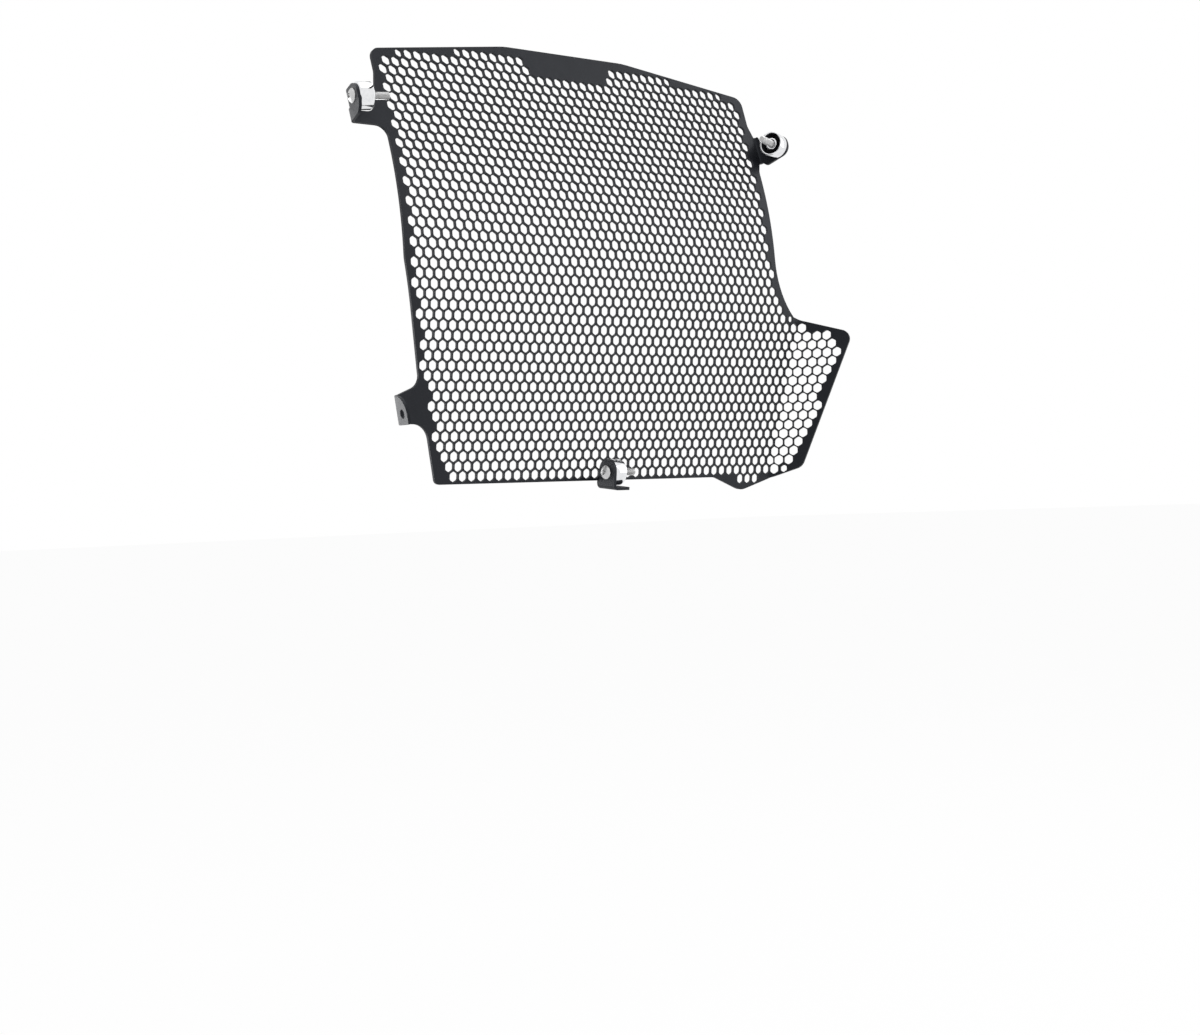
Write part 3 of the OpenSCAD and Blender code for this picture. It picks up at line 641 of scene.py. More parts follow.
    def bore_frame(self, name):
        """The frame of an ear's bore, with z out of its inner face and its origin on the ear's middle surface."""
        side, rise = self.bores[name][0]
        o, x, z = self.placed(np.array([[side, rise, 0.0], [side, rise + 1, 0.0], [side, rise, 1.0]]))
        z = (z - o) / np.linalg.norm(z - o)
        x = x - o - ((x - o) @ z) * z
        x = x / np.linalg.norm(x)
        y = np.cross(z, x)
        frame_of_bore = np.eye(4)
        frame_of_bore[:3, :3] = np.stack([x, y, z], axis=1)
        frame_of_bore[:3, 3] = o
        return Matrix(frame_of_bore.tolist())


def blank_now():
    return Blank(*all_sizes())


def cell_of_honeycomb(h):
    """One cell of the honeycomb: a hexagon of sheet, with a hexagon hole whose corners are softened."""
    clear_selection()
    bpy.ops.mesh.primitive_circle_add(vertices=6, radius=h.pitch / math.sqrt(3))
    cell = named("cell")
    bpy.ops.object.mode_set(mode="EDIT")
    bpy.ops.mesh.select_all(action="DESELECT")
    bpy.ops.mesh.primitive_circle_add(vertices=6, radius=(h.pitch - h.web) / math.sqrt(3))
    bpy.ops.mesh.bevel(offset=h.corner, segments=1, affect="VERTICES")
    bpy.ops.mesh.select_all(action="SELECT")
    bpy.ops.mesh.fill(use_beauty=True)
    close()
    return cell


def hole_of_honeycomb(h):
    clear_selection()
    bpy.ops.mesh.primitive_circle_add(vertices=6, radius=(h.pitch - h.web) / math.sqrt(3))
    hole = named("hole")
    edit(hole)
    bpy.ops.mesh.bevel(offset=h.corner, segments=1, affect="VERTICES")
    close()
    return hole


def copies(original, name, spots):
    """Copies of a small piece at many spots of the blank, each with its own mesh and size, joined into one."""
    made = []
    for side, rise, size in spots:
        pick(original)
        bpy.ops.object.duplicate(linked=False)
        copy = bpy.context.active_object
        copy.scale = (size, size, 1)
        bpy.ops.transform.translate(value=(side, rise, 0))
        bpy.ops.object.transform_apply(location=True, rotation=False, scale=True)
        made.append(copy)
    return join(name, *made)


def honeycomb_rows(blank, cell, rows):
    """The cells row by row: in each run of holes the cell is repeated along the row."""
    h = blank.h
    runs = []
    for row in rows:
        columns = sorted(rows[row])
        first = columns[0]
        for column, following in zip(columns, columns[1:] + [None]):
            if following != column + 1:
                runs.append((row, first, column - first + 1))
                first = following
    made = []
    for row, first, count in runs:
        pick(cell)
        bpy.ops.object.duplicate(linked=False)
        run = bpy.context.active_object
        step = h.pitch * math.sqrt(3) / 2
        bpy.ops.transform.translate(value=((first + (row % 2) / 2) * h.pitch, row * step, 0))
        if count > 1:
            finish_modifier(run, "ARRAY", count=count, use_relative_offset=False, use_constant_offset=True,
                            constant_offset_displace=(h.pitch, 0, 0))
        made.append(run)
    comb = join("honeycomb", *made)
    pick(comb)
    bpy.ops.object.transform_apply(location=True, rotation=False, scale=False)
    merge_doubles(comb)
    return comb


def border_of_honeycomb(blank, comb, loose):
    """The plain sheet round the honeycomb: the honeycomb's own edge, the outline, the bores and the holes that lie
    too near the outline to keep a whole cell, filled in."""
    h = blank.h
    side = h.pitch / math.sqrt(3)
    edit(comb, chosen=False)
    choose(comb, "edges", lambda edge: edge.is_boundary and abs(edge.calc_length() - side) < h.web / 20)
    bpy.ops.mesh.duplicate()
    bpy.ops.mesh.separate(type="SELECTED")
    close()
    edge_loop = [piece for piece in bpy.context.selected_objects if piece != comb][0]
    wires = [edge_loop, trace("outline", blank.outline)]
    for (side_place, rise), radius in blank.bores.values():
        clear_selection()
        bpy.ops.mesh.primitive_circle_add(vertices=40, radius=radius, location=(side_place, rise, 0))
        pick(bpy.context.active_object)
        bpy.ops.object.transform_apply(location=True, rotation=False, scale=False)
        wires.append(bpy.context.active_object)
    if loose:
        hole = hole_of_honeycomb(h)
        wires.append(copies(hole, "loose_holes", loose))
        pick(hole)
        bpy.ops.object.delete()
    border = join("border", *wires)
    edit(border)
    bpy.ops.mesh.fill(use_beauty=True)
    close()
    return border


def cut_across(piece, place, normal, test=None):
    """The chosen faces of the open piece are bisected by a plane."""
    if test is None:
        bpy.ops.mesh.select_mode(type="VERT")
        bpy.ops.mesh.select_all(action="SELECT")
    elif not choose(piece, "faces", test):
        return
    bpy.ops.mesh.bisect(plane_co=(*place, 0), plane_no=(*normal, 0), threshold=0.0005)


def near_fold(fold):
    """A test for faces that a fold's bend crosses."""
    def test(face):
        x, y = fold.local([vertex.co.xy[:] for vertex in face.verts])
        return x.max() > 0 and x.min() < fold.length and y.max() > fold.low and y.min() < fold.high
    return test


def score_folds(piece, folds, steps):
    """Lines are cut across each fold, where the sheet will bend."""
    edit(piece, chosen=False)
    for fold in folds:
        for i in range(steps + 1):
            place = fold.start + fold.across * fold.length * i / steps
            cut_across(piece, place, fold.across, near_fold(fold))
    close()


def score_roll(blank, piece):
    """Level lines are cut across the rolled part, through the honeycomb's own corners, so that cells stay whole."""
    s, h = blank.s, blank.h
    step, half_side = h.pitch * math.sqrt(3) / 2, h.pitch / math.sqrt(3) / 2
    edit(piece)
    for row in range(math.floor(-s.roll_drop / step), math.ceil(s.roll_top / step) + 1):
        for level in (row * step - half_side, row * step + half_side):
            cut_across(piece, (0, level), (0, 1))
    close()


def outline_distance(blank, points):
    """Distance of many points from the blank's outline."""
    a = np.array(blank.outline)
    b = np.roll(a, -1, axis=0)
    nearest = np.full(len(points), np.inf)
    for start, end in zip(a, b):
        run = end - start
        share = np.clip((points - start) @ run / (run @ run), 0, 1)
        nearest = np.minimum(nearest, np.linalg.norm(points - start - share[:, None] * run, axis=1))
    return nearest


def make_panel():
    blank = blank_now()
    s, h = blank.s, blank.h
    reach = h.pitch / math.sqrt(3) + h.web / 2
    hole_r = (h.pitch - h.web) / math.sqrt(3)
    rows, loose = {}, []
    for row, column, side, rise, away in blank.holes:
        if away < reach:
            room = outline_distance(blank, np.array([[side, rise]]))[0] - h.least_rim
            loose.append((side, rise, min(1, room / hole_r)))
        else:
            rows.setdefault(row, []).append(column)
    cell = cell_of_honeycomb(h)
    comb = honeycomb_rows(blank, cell, rows)
    pick(cell)
    bpy.ops.object.delete()
    border = border_of_honeycomb(blank, comb, loose)
    score_roll(blank, border)
    score_folds(border, [fold for fold in blank.folds if fold is not blank.wing], 6)
    panel = join("panel", comb, border)
    merge_doubles(panel)
    score_folds(panel, [blank.wing], 7)
    edit(panel)
    bpy.ops.mesh.normals_make_consistent(inside=False)
    close()
    if sum(face.normal.z for face in panel.data.polygons) < 0:
        edit(panel)
        bpy.ops.mesh.flip_normals()
        close()
    finish_modifier(panel, "SOLIDIFY", thickness=s.thickness, offset=0, use_even_offset=False, use_rim=True)
    soften_outline(blank, panel)
    move_vertices(panel, blank.placed(places(panel)) * MM)
    shade(panel, 24)
    return panel


def soften_outline(blank, panel):
    """The cut edge all round the blank is broken with a fine chamfer."""
    s = blank.s
    coords = places(panel)
    count = len(panel.data.edges)
    ends = np.empty(count * 2, int)
    panel.data.edges.foreach_get("vertices", ends)
    ends = ends.reshape(-1, 2)
    middles = (coords[ends[:, 0]] + coords[ends[:, 1]]) / 2
    level = np.abs(coords[ends[:, 0], 2] - coords[ends[:, 1], 2]) < 0.01
    face_part = np.abs(np.abs(middles[:, 2]) - s.thickness / 2) < 0.01
    on_edge = np.full(count, False)
    tested = np.flatnonzero(level & face_part)
    on_edge[tested] = outline_distance(blank, middles[tested, :2]) < 0.004
    edit(panel, chosen=False)
    choose(panel, "edges", lambda edge: on_edge[edge.index])
    bpy.ops.mesh.bevel(offset=s.edge_round, segments=1, affect="EDGES", clamp_overlap=True)
    close()


# Turned pieces

def spin_up(name, profile, facets, soft=0.0):
    """A profile (radius, height) is traced and spun round the z axis; its corners are softened first."""
    wire = trace(name, [(radius, 0, height) for radius, height in profile], closed=profile[0][0] > 0)
    edit(wire)
    if soft:
        choose(wire, "verts", lambda vertex: vertex.co.x > 0 and len(vertex.link_edges) == 2)
        bpy.ops.mesh.bevel(offset=soft, segments=2, affect="VERTICES")
    bpy.ops.mesh.select_all(action="SELECT")
    bpy.ops.mesh.spin(steps=facets, angle=math.tau, center=(0, 0, 0), axis=(0, 0, 1))
    bpy.ops.mesh.select_all(action="SELECT")
    bpy.ops.mesh.remove_doubles(threshold=WELD)
    bpy.ops.mesh.normals_make_consistent(inside=False)
    close()
    return wire


def remember_place(piece):
    """Keeps each vertex's place on the bench, in millimetres, for finishes that follow the piece's own axis."""
    kept = piece.data.attributes.new("own_place", "FLOAT_VECTOR", "POINT")
    kept.data.foreach_set("vector", places(piece).astype(np.float32).ravel())


def cutter_prism(name, corners, across_flats, low, high):
    clear_selection()
    bpy.ops.mesh.primitive_cylinder_add(vertices=corners, radius=across_flats / 2 / math.cos(math.pi / corners),
                                        depth=high - low, location=(0, 0, (low + high) / 2))
    cutter = named(name)
    bpy.ops.object.transform_apply(location=True, rotation=False, scale=False)
    return cutter


def cut_out(piece, cutter):
    finish_modifier(piece, "BOOLEAN", operation="DIFFERENCE", object=cutter, solver="EXACT")
    pick(cutter)
    bpy.ops.object.delete()


def screw_head(f):
    """The domed head and the shank, turned in one, with a hexagon socket whose mouth is a cone."""
    dome_h = f.head_h - f.head_lip
    head_r = f.head_d / 2
    dome_r = (head_r ** 2 + dome_h ** 2) / (2 * dome_h)
    widest = math.asin(head_r / dome_r)
    steps = 12
    dome = [(dome_r * math.sin(widest * i / steps), dome_r - f.head_h - dome_r * math.cos(widest * i / steps))
            for i in range(steps + 1)]
    neck = f.thread_depth / 2
    profile = dome + [
        (head_r, 0),
        (f.shank_d / 2, 0),
        (f.shank_d / 2, f.shank_l - neck),
        (f.thread_d / 2 - f.thread_depth, f.shank_l),
        (0, f.shank_l),
    ]
    head = spin_up("head", profile, f.facets)
    cut_out(head, cutter_prism("socket", 6, f.socket_w, -2 * f.head_h, f.socket_depth - f.head_h))
    clear_selection()
    mouth_r = f.socket_w / math.sqrt(3) + f.socket_mouth
    bpy.ops.mesh.primitive_cone_add(vertices=48, radius1=mouth_r + f.head_h, radius2=mouth_r - 2 * f.socket_mouth,
                                    depth=f.head_h + 2 * f.socket_mouth,
                                    location=(0, 0, -f.head_h - f.head_h / 2 + f.socket_mouth))
    cone = named("mouth")
    bpy.ops.object.transform_apply(location=True, rotation=False, scale=False)
    cut_out(head, cone)
    pick(head)
    finish_modifier(head, "BEVEL", width=f.edge_r / 2, segments=2, limit_method="ANGLE",
                    angle_limit=math.radians(38), use_clamp_overlap=True)
    return head


def screw_thread(f):
    """The thread: one turn's profile screwed up the axis, run out at both ends and closed."""
    crest, pitch = f.thread_d / 2, f.thread_pitch
    root = crest - f.thread_depth
    flat = pitch / 8
    slope = (pitch - 2 * flat) / 2
    start = f.shank_l - 2 * pitch
    profile = [(root, start), (root, start + flat / 2), (crest, start + flat / 2 + slope),
               (crest, start + 3 * flat / 2 + slope), (root, start + 3 * flat / 2 + 2 * slope), (root, start + pitch)]
    profile = [point for i, point in enumerate(profile) if i == 0 or point != profile[i - 1]]
    thread = trace("thread", [(radius, 0, height) for radius, height in profile], closed=False)
    turns = math.ceil((f.screw_l - start) / pitch) + 1
    finish_modifier(thread, "SCREW", axis="Z", angle=math.tau, screw_offset=pitch, iterations=turns, steps=32,
                    render_steps=32, use_merge_vertices=True, merge_threshold=WELD)
    merge_doubles(thread)
    edit(thread)
    bpy.ops.mesh.bisect(plane_co=(0, 0, f.shank_l - f.thread_depth), plane_no=(0, 0, 1), clear_inner=True,
                        use_fill=True, threshold=0.0005)
    bpy.ops.mesh.select_all(action="SELECT")
    bpy.ops.mesh.bisect(plane_co=(0, 0, f.screw_l), plane_no=(0, 0, 1), clear_outer=True, use_fill=True,
                        threshold=0.0005)
    close()
    # The crests rise over one pitch from just under the root, and the tip has a chamfer
    coords = places(thread)
    radius = np.hypot(coords[:, 0], coords[:, 1])
    hidden, tip = root - HAIR, root - f.thread_depth / 3
    risen = hidden + np.maximum(0, coords[:, 2] - f.shank_l) / pitch * f.thread_depth
    limit = np.clip(np.minimum(risen, tip + (f.screw_l - coords[:, 2])), tip, crest)
    coords[:, :2] *= np.minimum(1, limit / np.maximum(radius, 1e-6))[:, None]
    move_vertices(thread, coords)
    edit(thread)
    bpy.ops.mesh.remove_doubles(threshold=WELD)
    bpy.ops.mesh.normals_make_consistent(inside=False)
    close()
    return thread


def make_screw():
    f = all_sizes()[3]
    screw = join("screw", screw_head(f), screw_thread(f))
    remember_place(screw)
    shade(screw, 32)
    return screw


def make_collar():
    """The collar: a turned cup with an inner sleeve, open away from its ear."""
    e, f = all_sizes()[2:]
    bore, rim, sleeve = e.screw_bore / 2, f.collar_d / 2, f.sleeve_d / 2
    sleeve_l = f.collar_l - f.sleeve_short
    inner = rim - f.collar_wall
    hollow_r = f.collar_wall / 2
    profile = [
        (bore, 0),
        (rim - f.collar_chamfer, 0),
        (rim, f.collar_chamfer),
        (rim, f.collar_l),
        (inner, f.collar_l),
        (inner, f.collar_wall + hollow_r),
        (inner - hollow_r, f.collar_wall),
        (sleeve + hollow_r, f.collar_wall),
        (sleeve, f.collar_wall + hollow_r),
        (sleeve, sleeve_l),
        (bore, sleeve_l),
    ]
    collar = spin_up("collar", profile, f.facets, soft=f.edge_r)
    remember_place(collar)
    shade(collar, 32)
    return collar


def paint_cup_shade(collar):
    """The cup's inner faces, between its sleeve and its rim, take the collar's second finish, its painted shade."""
    f = all_sizes()[3]
    near, slack = f.sleeve_d / 2, f.edge_r / 3
    far = f.collar_d / 2 - f.collar_wall
    for face in collar.data.polygons:
        radius = math.hypot(face.center.x, face.center.y)
        if near + slack < radius < far + slack and face.center.z > f.collar_wall - slack:
            face.material_index = 1


def put_in_place(original, name, node, place):
    """A copy with its own mesh, turned into its place on the guard and finished in metres."""
    pick(original)
    bpy.ops.object.duplicate(linked=False)
    piece = bpy.context.active_object
    piece.matrix_world = Matrix.Scale(MM, 4) @ place
    bpy.ops.object.transform_apply(location=True, rotation=True, scale=True)
    hand_over(piece, name, node)


def hand_out(original, name, node, face):
    """A copy goes to each bore that a screw goes through, on its ear's outer face (-1) or inner face (1)."""
    blank, f = blank_now(), all_sizes()[3]
    for bore, seat in (("upper_left", f.seat), ("upper_right", f.seat), ("lower_centre", f.base_seat)):
        place = blank.bore_frame(bore) @ Matrix.Translation((0, 0, face * seat))
        put_in_place(original, name + bore, bore + node, place)
    pick(original)
    bpy.ops.object.delete()


# Finishes

class Wire:
    """A socket's value in a finish, so that maths on it adds Math nodes."""

    def __init__(self, finish, socket):
        self.finish, self.socket = finish, socket

    def _maths(self, operation, first, second):
        return self.finish.node("ShaderNodeMath", {"operation": operation}, {0: first, 1: second})

    def __add__(self, other):
        return self._maths("ADD", self, other)

    def __mul__(self, other):
        return self._maths("MULTIPLY", self, other)

    def __pow__(self, other):
        return self._maths("POWER", self, other)

    __radd__, __rmul__ = __add__, __mul__


class Finish:
    """A material's or world's nodes, laid down one by one."""

    def __init__(self, owner):
        self.owner = owner
        owner.use_nodes = True
        self.tree = owner.node_tree
        self.tree.nodes.clear()

    def node(self, kind, settings=None, inputs=None, output=0):
        """One node, its settings set first, then the values or links of its sockets; several outputs come as a list."""
        made = self.tree.nodes.new(kind)
        for name, value in (settings or {}).items():
            if name == "stops":
                ramp = made.color_ramp
                while len(ramp.elements) < len(value):
                    ramp.elements.new(0.5)
                for element, (position, rgb) in zip(ramp.elements, value):
                    element.position = position
                    element.color = (*rgb, 1) if isinstance(rgb, tuple) else (rgb, rgb, rgb, 1)
            else:
                setattr(made, name, value)
        for name, value in (inputs or {}).items():
            socket = made.inputs[name]
            if isinstance(value, Wire):
                self.tree.links.new(value.socket, socket)
            elif isinstance(value, tuple) and len(value) == 3 and socket.type == "RGBA":
                socket.default_value = (*value, 1)
            else:
                socket.default_value = value
        if isinstance(output, tuple):
            return [Wire(self, made.outputs[name]) for name in output]
        return Wire(self, made.outputs[output]) if made.outputs else made

    def noise(self, place, scale, detail=2.0, rough=0.5):
        return self.node("ShaderNodeTexNoise", {}, {"Vector": place, "Scale": scale, "Detail": detail,
                                                    "Roughness": rough})

    def blend(self, share, first, second):
        return self.node("ShaderNodeMix", {"data_type": "RGBA"}, {0: share, 6: first, 7: second}, output=2)

    def limited(self, value, low, high, new_low, new_high):
        return self.node("ShaderNodeMapRange", {"clamp": True},
                         {"Value": value, "From Min": low, "From Max": high, "To Min": new_low, "To Max": new_high})

    def bump(self, strength, distance, height):
        return self.node("ShaderNodeBump", {}, {"Strength": strength, "Distance": distance, "Height": height})

    def surface(self, inputs):
        shader = self.node("ShaderNodeBsdfPrincipled", {}, inputs)
        self.node("ShaderNodeOutputMaterial", {}, {"Surface": shader})
        return self.owner


def new_finish(name):
    return Finish(bpy.data.materials.new(name))


def satin_coat(look):
    """Black satin coating baked on the sheet: faint orange peel, slow drifts of gloss and a little settled dust."""
    finish = new_finish("satin_black_coat")
    place = finish.node("ShaderNodeTexCoord", output="Object")
    drift = finish.noise(place, 14.0, 3.0)
    cloud = finish.noise(place, 95.0, 4.0, 0.6)
    peel = finish.noise(place, 850.0, 2.0, 0.45)
    grain = finish.noise(place, 3600.0, 2.0, 0.6)
    specks = finish.limited(finish.noise(place, 1500.0, 1.0), 0.70, 0.78, 0.0, 1.0)
    patchy = finish.limited(drift * 0.6 + cloud * 0.4, 0.38, 0.66, 0.0, 1.0)
    base = finish.blend(patchy * 0.75, tuple(look.coat), tuple(look.coat_dust))
    base = finish.blend(specks * 0.35, base, tuple(look.coat_specks))
    roughness = (look.coat_roughness - 0.06) + drift * 0.05 + cloud * 0.05 + grain * 0.05 + specks * 0.12
    bump = finish.bump(0.32, 0.00012, peel * 0.75 + grain * 0.18 + specks * 0.3)
    return finish.surface({"Base Color": base, "Roughness": roughness, "Normal": bump, "Specular IOR Level": 0.2,
                           "Specular Tint": (0.86, 0.91, 1.0)})


def own_place(finish):
    """The place that a turned piece had on the bench, in millimetres."""
    return finish.node("ShaderNodeAttribute", {"attribute_name": "own_place"}, output="Vector")


def lathe_rings(finish, density):
    """Radius and height on a turned piece's own axis, so that a pattern on them runs round it in rings."""
    x, y, z = finish.node("ShaderNodeSeparateXYZ", {}, {0: own_place(finish)}, output=("X", "Y", "Z"))
    radius = (x * x + y * y) ** 0.5
    return finish.node("ShaderNodeCombineXYZ", {}, {0: radius * density, 1: z * density, 2: 0.0})


def screw_steel(look):
    """Plain steel of the screws: lathe lines round the head, faint drawn lines and small dull spots."""
    finish = new_finish("screw_steel")
    own = own_place(finish)
    lathe = finish.noise(lathe_rings(finish, 6.0), 3.2, 3.0, 0.6)
    spots = finish.noise(own, 1.7, 4.0, 0.6)
    fine = finish.noise(own, 22.0, 2.0)
    tarnish = finish.limited(spots, 0.45, 0.75, 0.0, 1.0)
    base = finish.blend(tarnish * 0.5, tuple(look.steel), tuple(look.steel_dull))
    roughness = (look.steel_roughness - 0.08) + lathe * 0.10 + tarnish * 0.14 + fine * 0.06
    bump = finish.bump(0.25, 0.00004, lathe * 0.8 + fine * 0.25)
    return finish.surface({"Base Color": base, "Roughness": roughness, "Metallic": 1.0, "Normal": bump})


def polished_metal(look):
    """Polished metal of the collars: very fine turning lines under the polish, with a few hairline scuffs."""
    finish = new_finish("polished_collar_metal")
    own = own_place(finish)
    lathe = finish.noise(lathe_rings(finish, 9.0), 2.6, 4.0, 0.65)
    smear = finish.noise(own, 0.55, 3.0, 0.55)
    scuff = finish.limited(finish.noise(own, 7.5, 5.0, 0.7), 0.62, 0.72, 0.0, 1.0)
    dulled = finish.limited(smear, 0.4, 0.7, 0.0, 0.6)
    base = finish.blend(dulled, tuple(look.bright), tuple(look.bright_dull))
    roughness = (look.bright_roughness - 0.03) + lathe * 0.05 + scuff * 0.12 + smear * 0.04
    bump = finish.bump(0.18, 0.00003, lathe * 0.8 + scuff * 0.1)
    return finish.surface({"Base Color": base, "Roughness": roughness, "Metallic": 1.0, "Normal": bump})


def cup_inside(look):
    """Painted shade inside a collar's cup: its hollow is painted near-black under the polished rim, paler in patches,
    with a dull sheen.
    """
    finish = new_finish("collar_inside")
    own = own_place(finish)
    shade_mottle = finish.noise(own, 2.4, 5.0, 0.62)
    pits = finish.noise(own, 11.0, 3.0, 0.6)
    patchy = finish.limited(shade_mottle, 0.35, 0.7, 0.0, 1.0)
    # Painted shade: a near-black base colour for the cup's hollow, lighter in patches
    base = finish.blend(patchy, tuple(look.cup), tuple(look.cup_shade_pale))
    bump = finish.bump(0.4, 0.00012, shade_mottle * 0.5 + pits * 0.5)
    return finish.surface({"Base Color": base, "Roughness": shade_mottle * 0.25 + 0.4, "Specular IOR Level": 0.12,
                           "Normal": bump})


def finish_named(name, maker):
    return bpy.data.materials.get(name) or maker(bpy.context.scene.guard_finishes)


# Operators: one for each group of pieces, and one for the stage

class GUARD_OT_panel(Operator):
    """Build the folded honeycomb sheet with its wing, ears and bottom bracket"""
    bl_idname = "guard.panel"
    bl_label = "Folded Sheet"

    def execute(self, context):
        panel = make_panel()
        loose_edges = sum(1 for count in edge_uses(panel) if count != 2)
        if loose_edges:
            print("sheet: edges without two faces:", loose_edges)
        if len(panel.data.polygons) < 10000:
            raise RuntimeError("the sheet lost its honeycomb")
        dress(panel, finish_named("satin_black_coat", satin_coat))
        hand_over(panel, "honeycomb_sheet", "guard_panel")
        return {"FINISHED"}


def edge_uses(piece):
    """How many faces use each edge."""
    uses = np.zeros(len(piece.data.edges), int)
    loops = np.empty(len(piece.data.loops), int)
    piece.data.loops.foreach_get("edge_index", loops)
    np.add.at(uses, loops, 1)
    return uses


class GUARD_OT_screws(Operator):
    """Build the three button-head screws"""
    bl_idname = "guard.screws"
    bl_label = "Screws"

    def execute(self, context):
        screw = make_screw()
        dress(screw, finish_named("screw_steel", screw_steel))
        hand_out(screw, "button_screw_", "_screw", -1)
        return {"FINISHED"}


class GUARD_OT_collars(Operator):
    """Build the three polished collars that the screws go through"""
    bl_idname = "guard.collars"
    bl_label = "Collars"

    def execute(self, context):
        collar = make_collar()
        # The collar's second finish is painted shade inside its cup
        dress(collar, finish_named("polished_collar_metal", polished_metal),
              finish_named("collar_inside", cup_inside))
        paint_cup_shade(collar)
        hand_out(collar, "spacer_collar_", "_collar", 1)
        return {"FINISHED"}


def add_softbox(name, place, target, size, power, spread=180):
    light = bpy.data.lights.new(name, "AREA")
    light.shape = "RECTANGLE"
    light.size, light.size_y = size
    light.energy = power
    light.spread = math.radians(spread)
    lamp = bpy.data.objects.new(name, light)
    bpy.context.scene.collection.objects.link(lamp)
    lamp.location = place
    lamp.rotation_euler = (Vector(target) - Vector(place)).to_track_quat("-Z", "Y").to_euler()
    return lamp


def add_dark_card(place, target, size):
    """A dark card out of the camera's sight, which draws a dark line along the polished metal."""
    clear_selection()
    bpy.ops.mesh.primitive_plane_add(size=1)
    card = named("dark_card")
    turn = (Vector(target) - Vector(place)).to_track_quat("Z", "Y").to_matrix().to_4x4()
    card.matrix_world = Matrix.Translation(place) @ turn @ Matrix.Diagonal((*size, 1, 1))
    bpy.ops.object.transform_apply(location=True, rotation=True, scale=True)
    finish = new_finish("dark_card")
    cloth = finish.noise(finish.node("ShaderNodeTexCoord", output="Object"), 60.0, 2.0)
    black = finish.node("ShaderNodeBsdfDiffuse", {}, {
        "Color": finish.blend(cloth, (0.01, 0.01, 0.01), (0.02, 0.02, 0.02))})
    finish.node("ShaderNodeOutputMaterial", {}, {"Surface": black})
    dress(card, finish.owner)
    card.visible_camera = card.visible_diffuse = card.visible_shadow = False


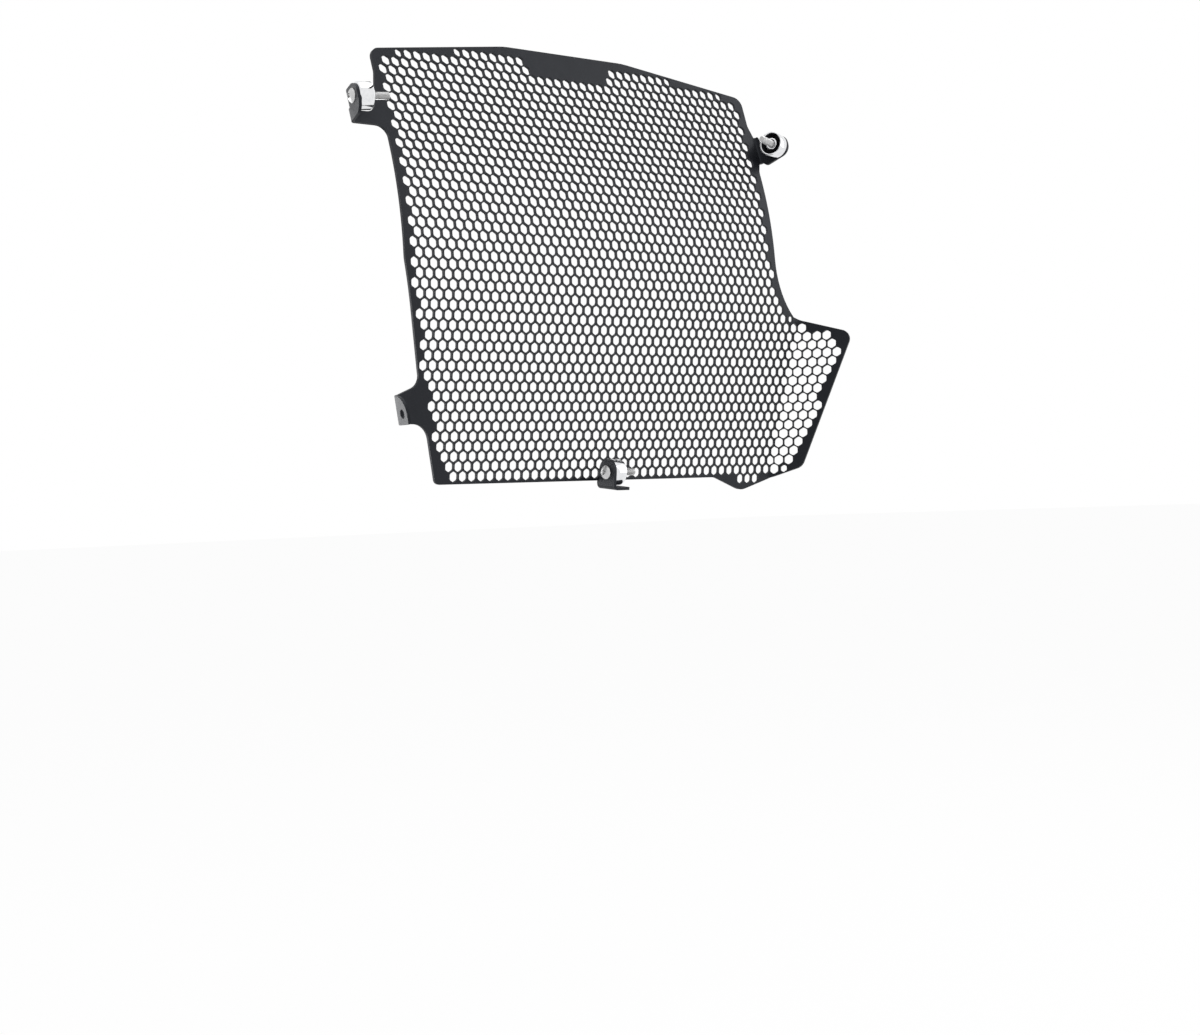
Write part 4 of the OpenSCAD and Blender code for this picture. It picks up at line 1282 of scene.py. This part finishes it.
class GUARD_OT_stage(Operator):
    """Set the pale floor, the soft light and the camera"""
    bl_idname = "guard.stage"
    bl_label = "Stage"

    def execute(self, context):
        scene = context.scene
        studio = scene.guard_studio
        white = tuple(studio.backdrop)
        clear_selection()
        bpy.ops.mesh.primitive_plane_add(size=60, location=(0, 0, -studio.floor_drop))
        floor = named("pale_floor")
        bpy.ops.object.transform_apply(location=True, rotation=False, scale=False)
        finish = new_finish("pale_floor")
        seen = seen_rays(finish)
        paper = finish.noise(finish.node("ShaderNodeTexCoord", output="Object"), 3.0, 4.0)
        diffuse = finish.node("ShaderNodeBsdfDiffuse", {}, {
            "Color": finish.blend(paper, tuple(0.86 * c for c in white), tuple(0.9 * c for c in white))})
        glow = finish.node("ShaderNodeEmission", {}, {"Color": white, "Strength": 1.0})
        lifted = finish.node("ShaderNodeMixShader", {}, {0: seen * 0.94, 1: diffuse, 2: glow})
        finish.node("ShaderNodeOutputMaterial", {}, {"Surface": lifted})
        dress(floor, finish.owner)
        self.set_world(scene, white)
        middle = (-0.17, 0.0, 0.09)
        add_softbox("top_softbox", (-0.2, 0.2, 1.6), middle, (1.8, 1.4), 14)
        add_softbox("far_softbox", (-1.5, 0.9, 0.5), middle, (1.0, 1.4), 10)
        add_softbox("back_softbox", (0.32, -1.3, -0.1), (0.0, 0.0, 0.0), (0.8, 0.9), 1.8, 70)
        add_dark_card((-0.75, 0.15, 1.25), middle, (1.6, 0.16))
        camera = bpy.data.cameras.new("photo_camera")
        camera.lens = studio.lens
        camera.sensor_fit = "HORIZONTAL"
        camera.sensor_width = 36
        camera.clip_start = 0.01
        viewer = bpy.data.objects.new("photo_camera", camera)
        scene.collection.objects.link(viewer)
        viewer.location = (0.735956, 1.051496, -0.061841)
        viewer.rotation_euler = Euler([math.radians(turn) for turn in (89.65611, 2.18663, 139.61927)], "XYZ")
        scene.camera = viewer
        scene.view_settings.view_transform = "Standard"
        return {"FINISHED"}

    def set_world(self, scene, white):
        """White for the rays that show the backdrop, and a plain grey light for the rest."""
        world = bpy.data.worlds.new("studio")
        scene.world = world
        finish = Finish(world)
        seen = seen_rays(finish)
        light = finish.blend(seen, (0.62, 0.62, 0.62), white)
        sky = finish.node("ShaderNodeBackground", {}, {"Color": light, "Strength": 1.0})
        finish.node("ShaderNodeOutputWorld", {}, {"Surface": sky})


def seen_rays(finish):
    """One where a ray shows the backdrop: straight from the camera, mirrored or through glass."""
    camera, glossy, through = finish.node("ShaderNodeLightPath", output=(
        "Is Camera Ray", "Is Glossy Ray", "Is Transmission Ray"))
    return finish.node("ShaderNodeMath", {"operation": "MAXIMUM"}, {
        0: camera, 1: finish.node("ShaderNodeMath", {"operation": "MAXIMUM"}, {0: glossy, 1: through})})


class GUARD_PT_tools(Panel):
    """Lists the guard's sizes and builders"""
    bl_idname = "GUARD_PT_tools"
    bl_label = "Radiator Guard"
    bl_space_type = "VIEW_3D"
    bl_region_type = "UI"
    bl_category = "Guard"

    def draw(self, context):
        for operator in BUILDERS:
            self.layout.operator(operator.bl_idname)
        for name in GROUPS:
            group = getattr(context.scene, name)
            box = self.layout.box()
            box.label(text=name.replace("_", " ").title())
            for prop in group.__annotations__:
                box.prop(group, prop)


GROUPS = {
    "guard_sheet": GuardSheetSizes,
    "guard_honeycomb": GuardHoneycombSizes,
    "guard_ears": GuardEarSizes,
    "guard_fasteners": GuardFastenerSizes,
    "guard_finishes": GuardFinishes,
    "guard_studio": GuardStudio,
}
BUILDERS = (GUARD_OT_panel, GUARD_OT_screws, GUARD_OT_collars, GUARD_OT_stage)


def register():
    for group in GROUPS.values():
        bpy.utils.register_class(group)
    for operator in BUILDERS:
        bpy.utils.register_class(operator)
    bpy.utils.register_class(GUARD_PT_tools)
    for name, group in GROUPS.items():
        setattr(bpy.types.Scene, name, PointerProperty(type=group))


def unregister():
    for name in GROUPS:
        delattr(bpy.types.Scene, name)
    bpy.utils.unregister_class(GUARD_PT_tools)
    for operator in reversed(BUILDERS):
        bpy.utils.unregister_class(operator)
    for group in reversed(GROUPS.values()):
        bpy.utils.unregister_class(group)


def main():
    register()
    bpy.ops.guard.panel()
    bpy.ops.guard.screws()
    bpy.ops.guard.collars()
    bpy.ops.guard.stage()
    clear_selection()


if __name__ == "__main__":
    main()
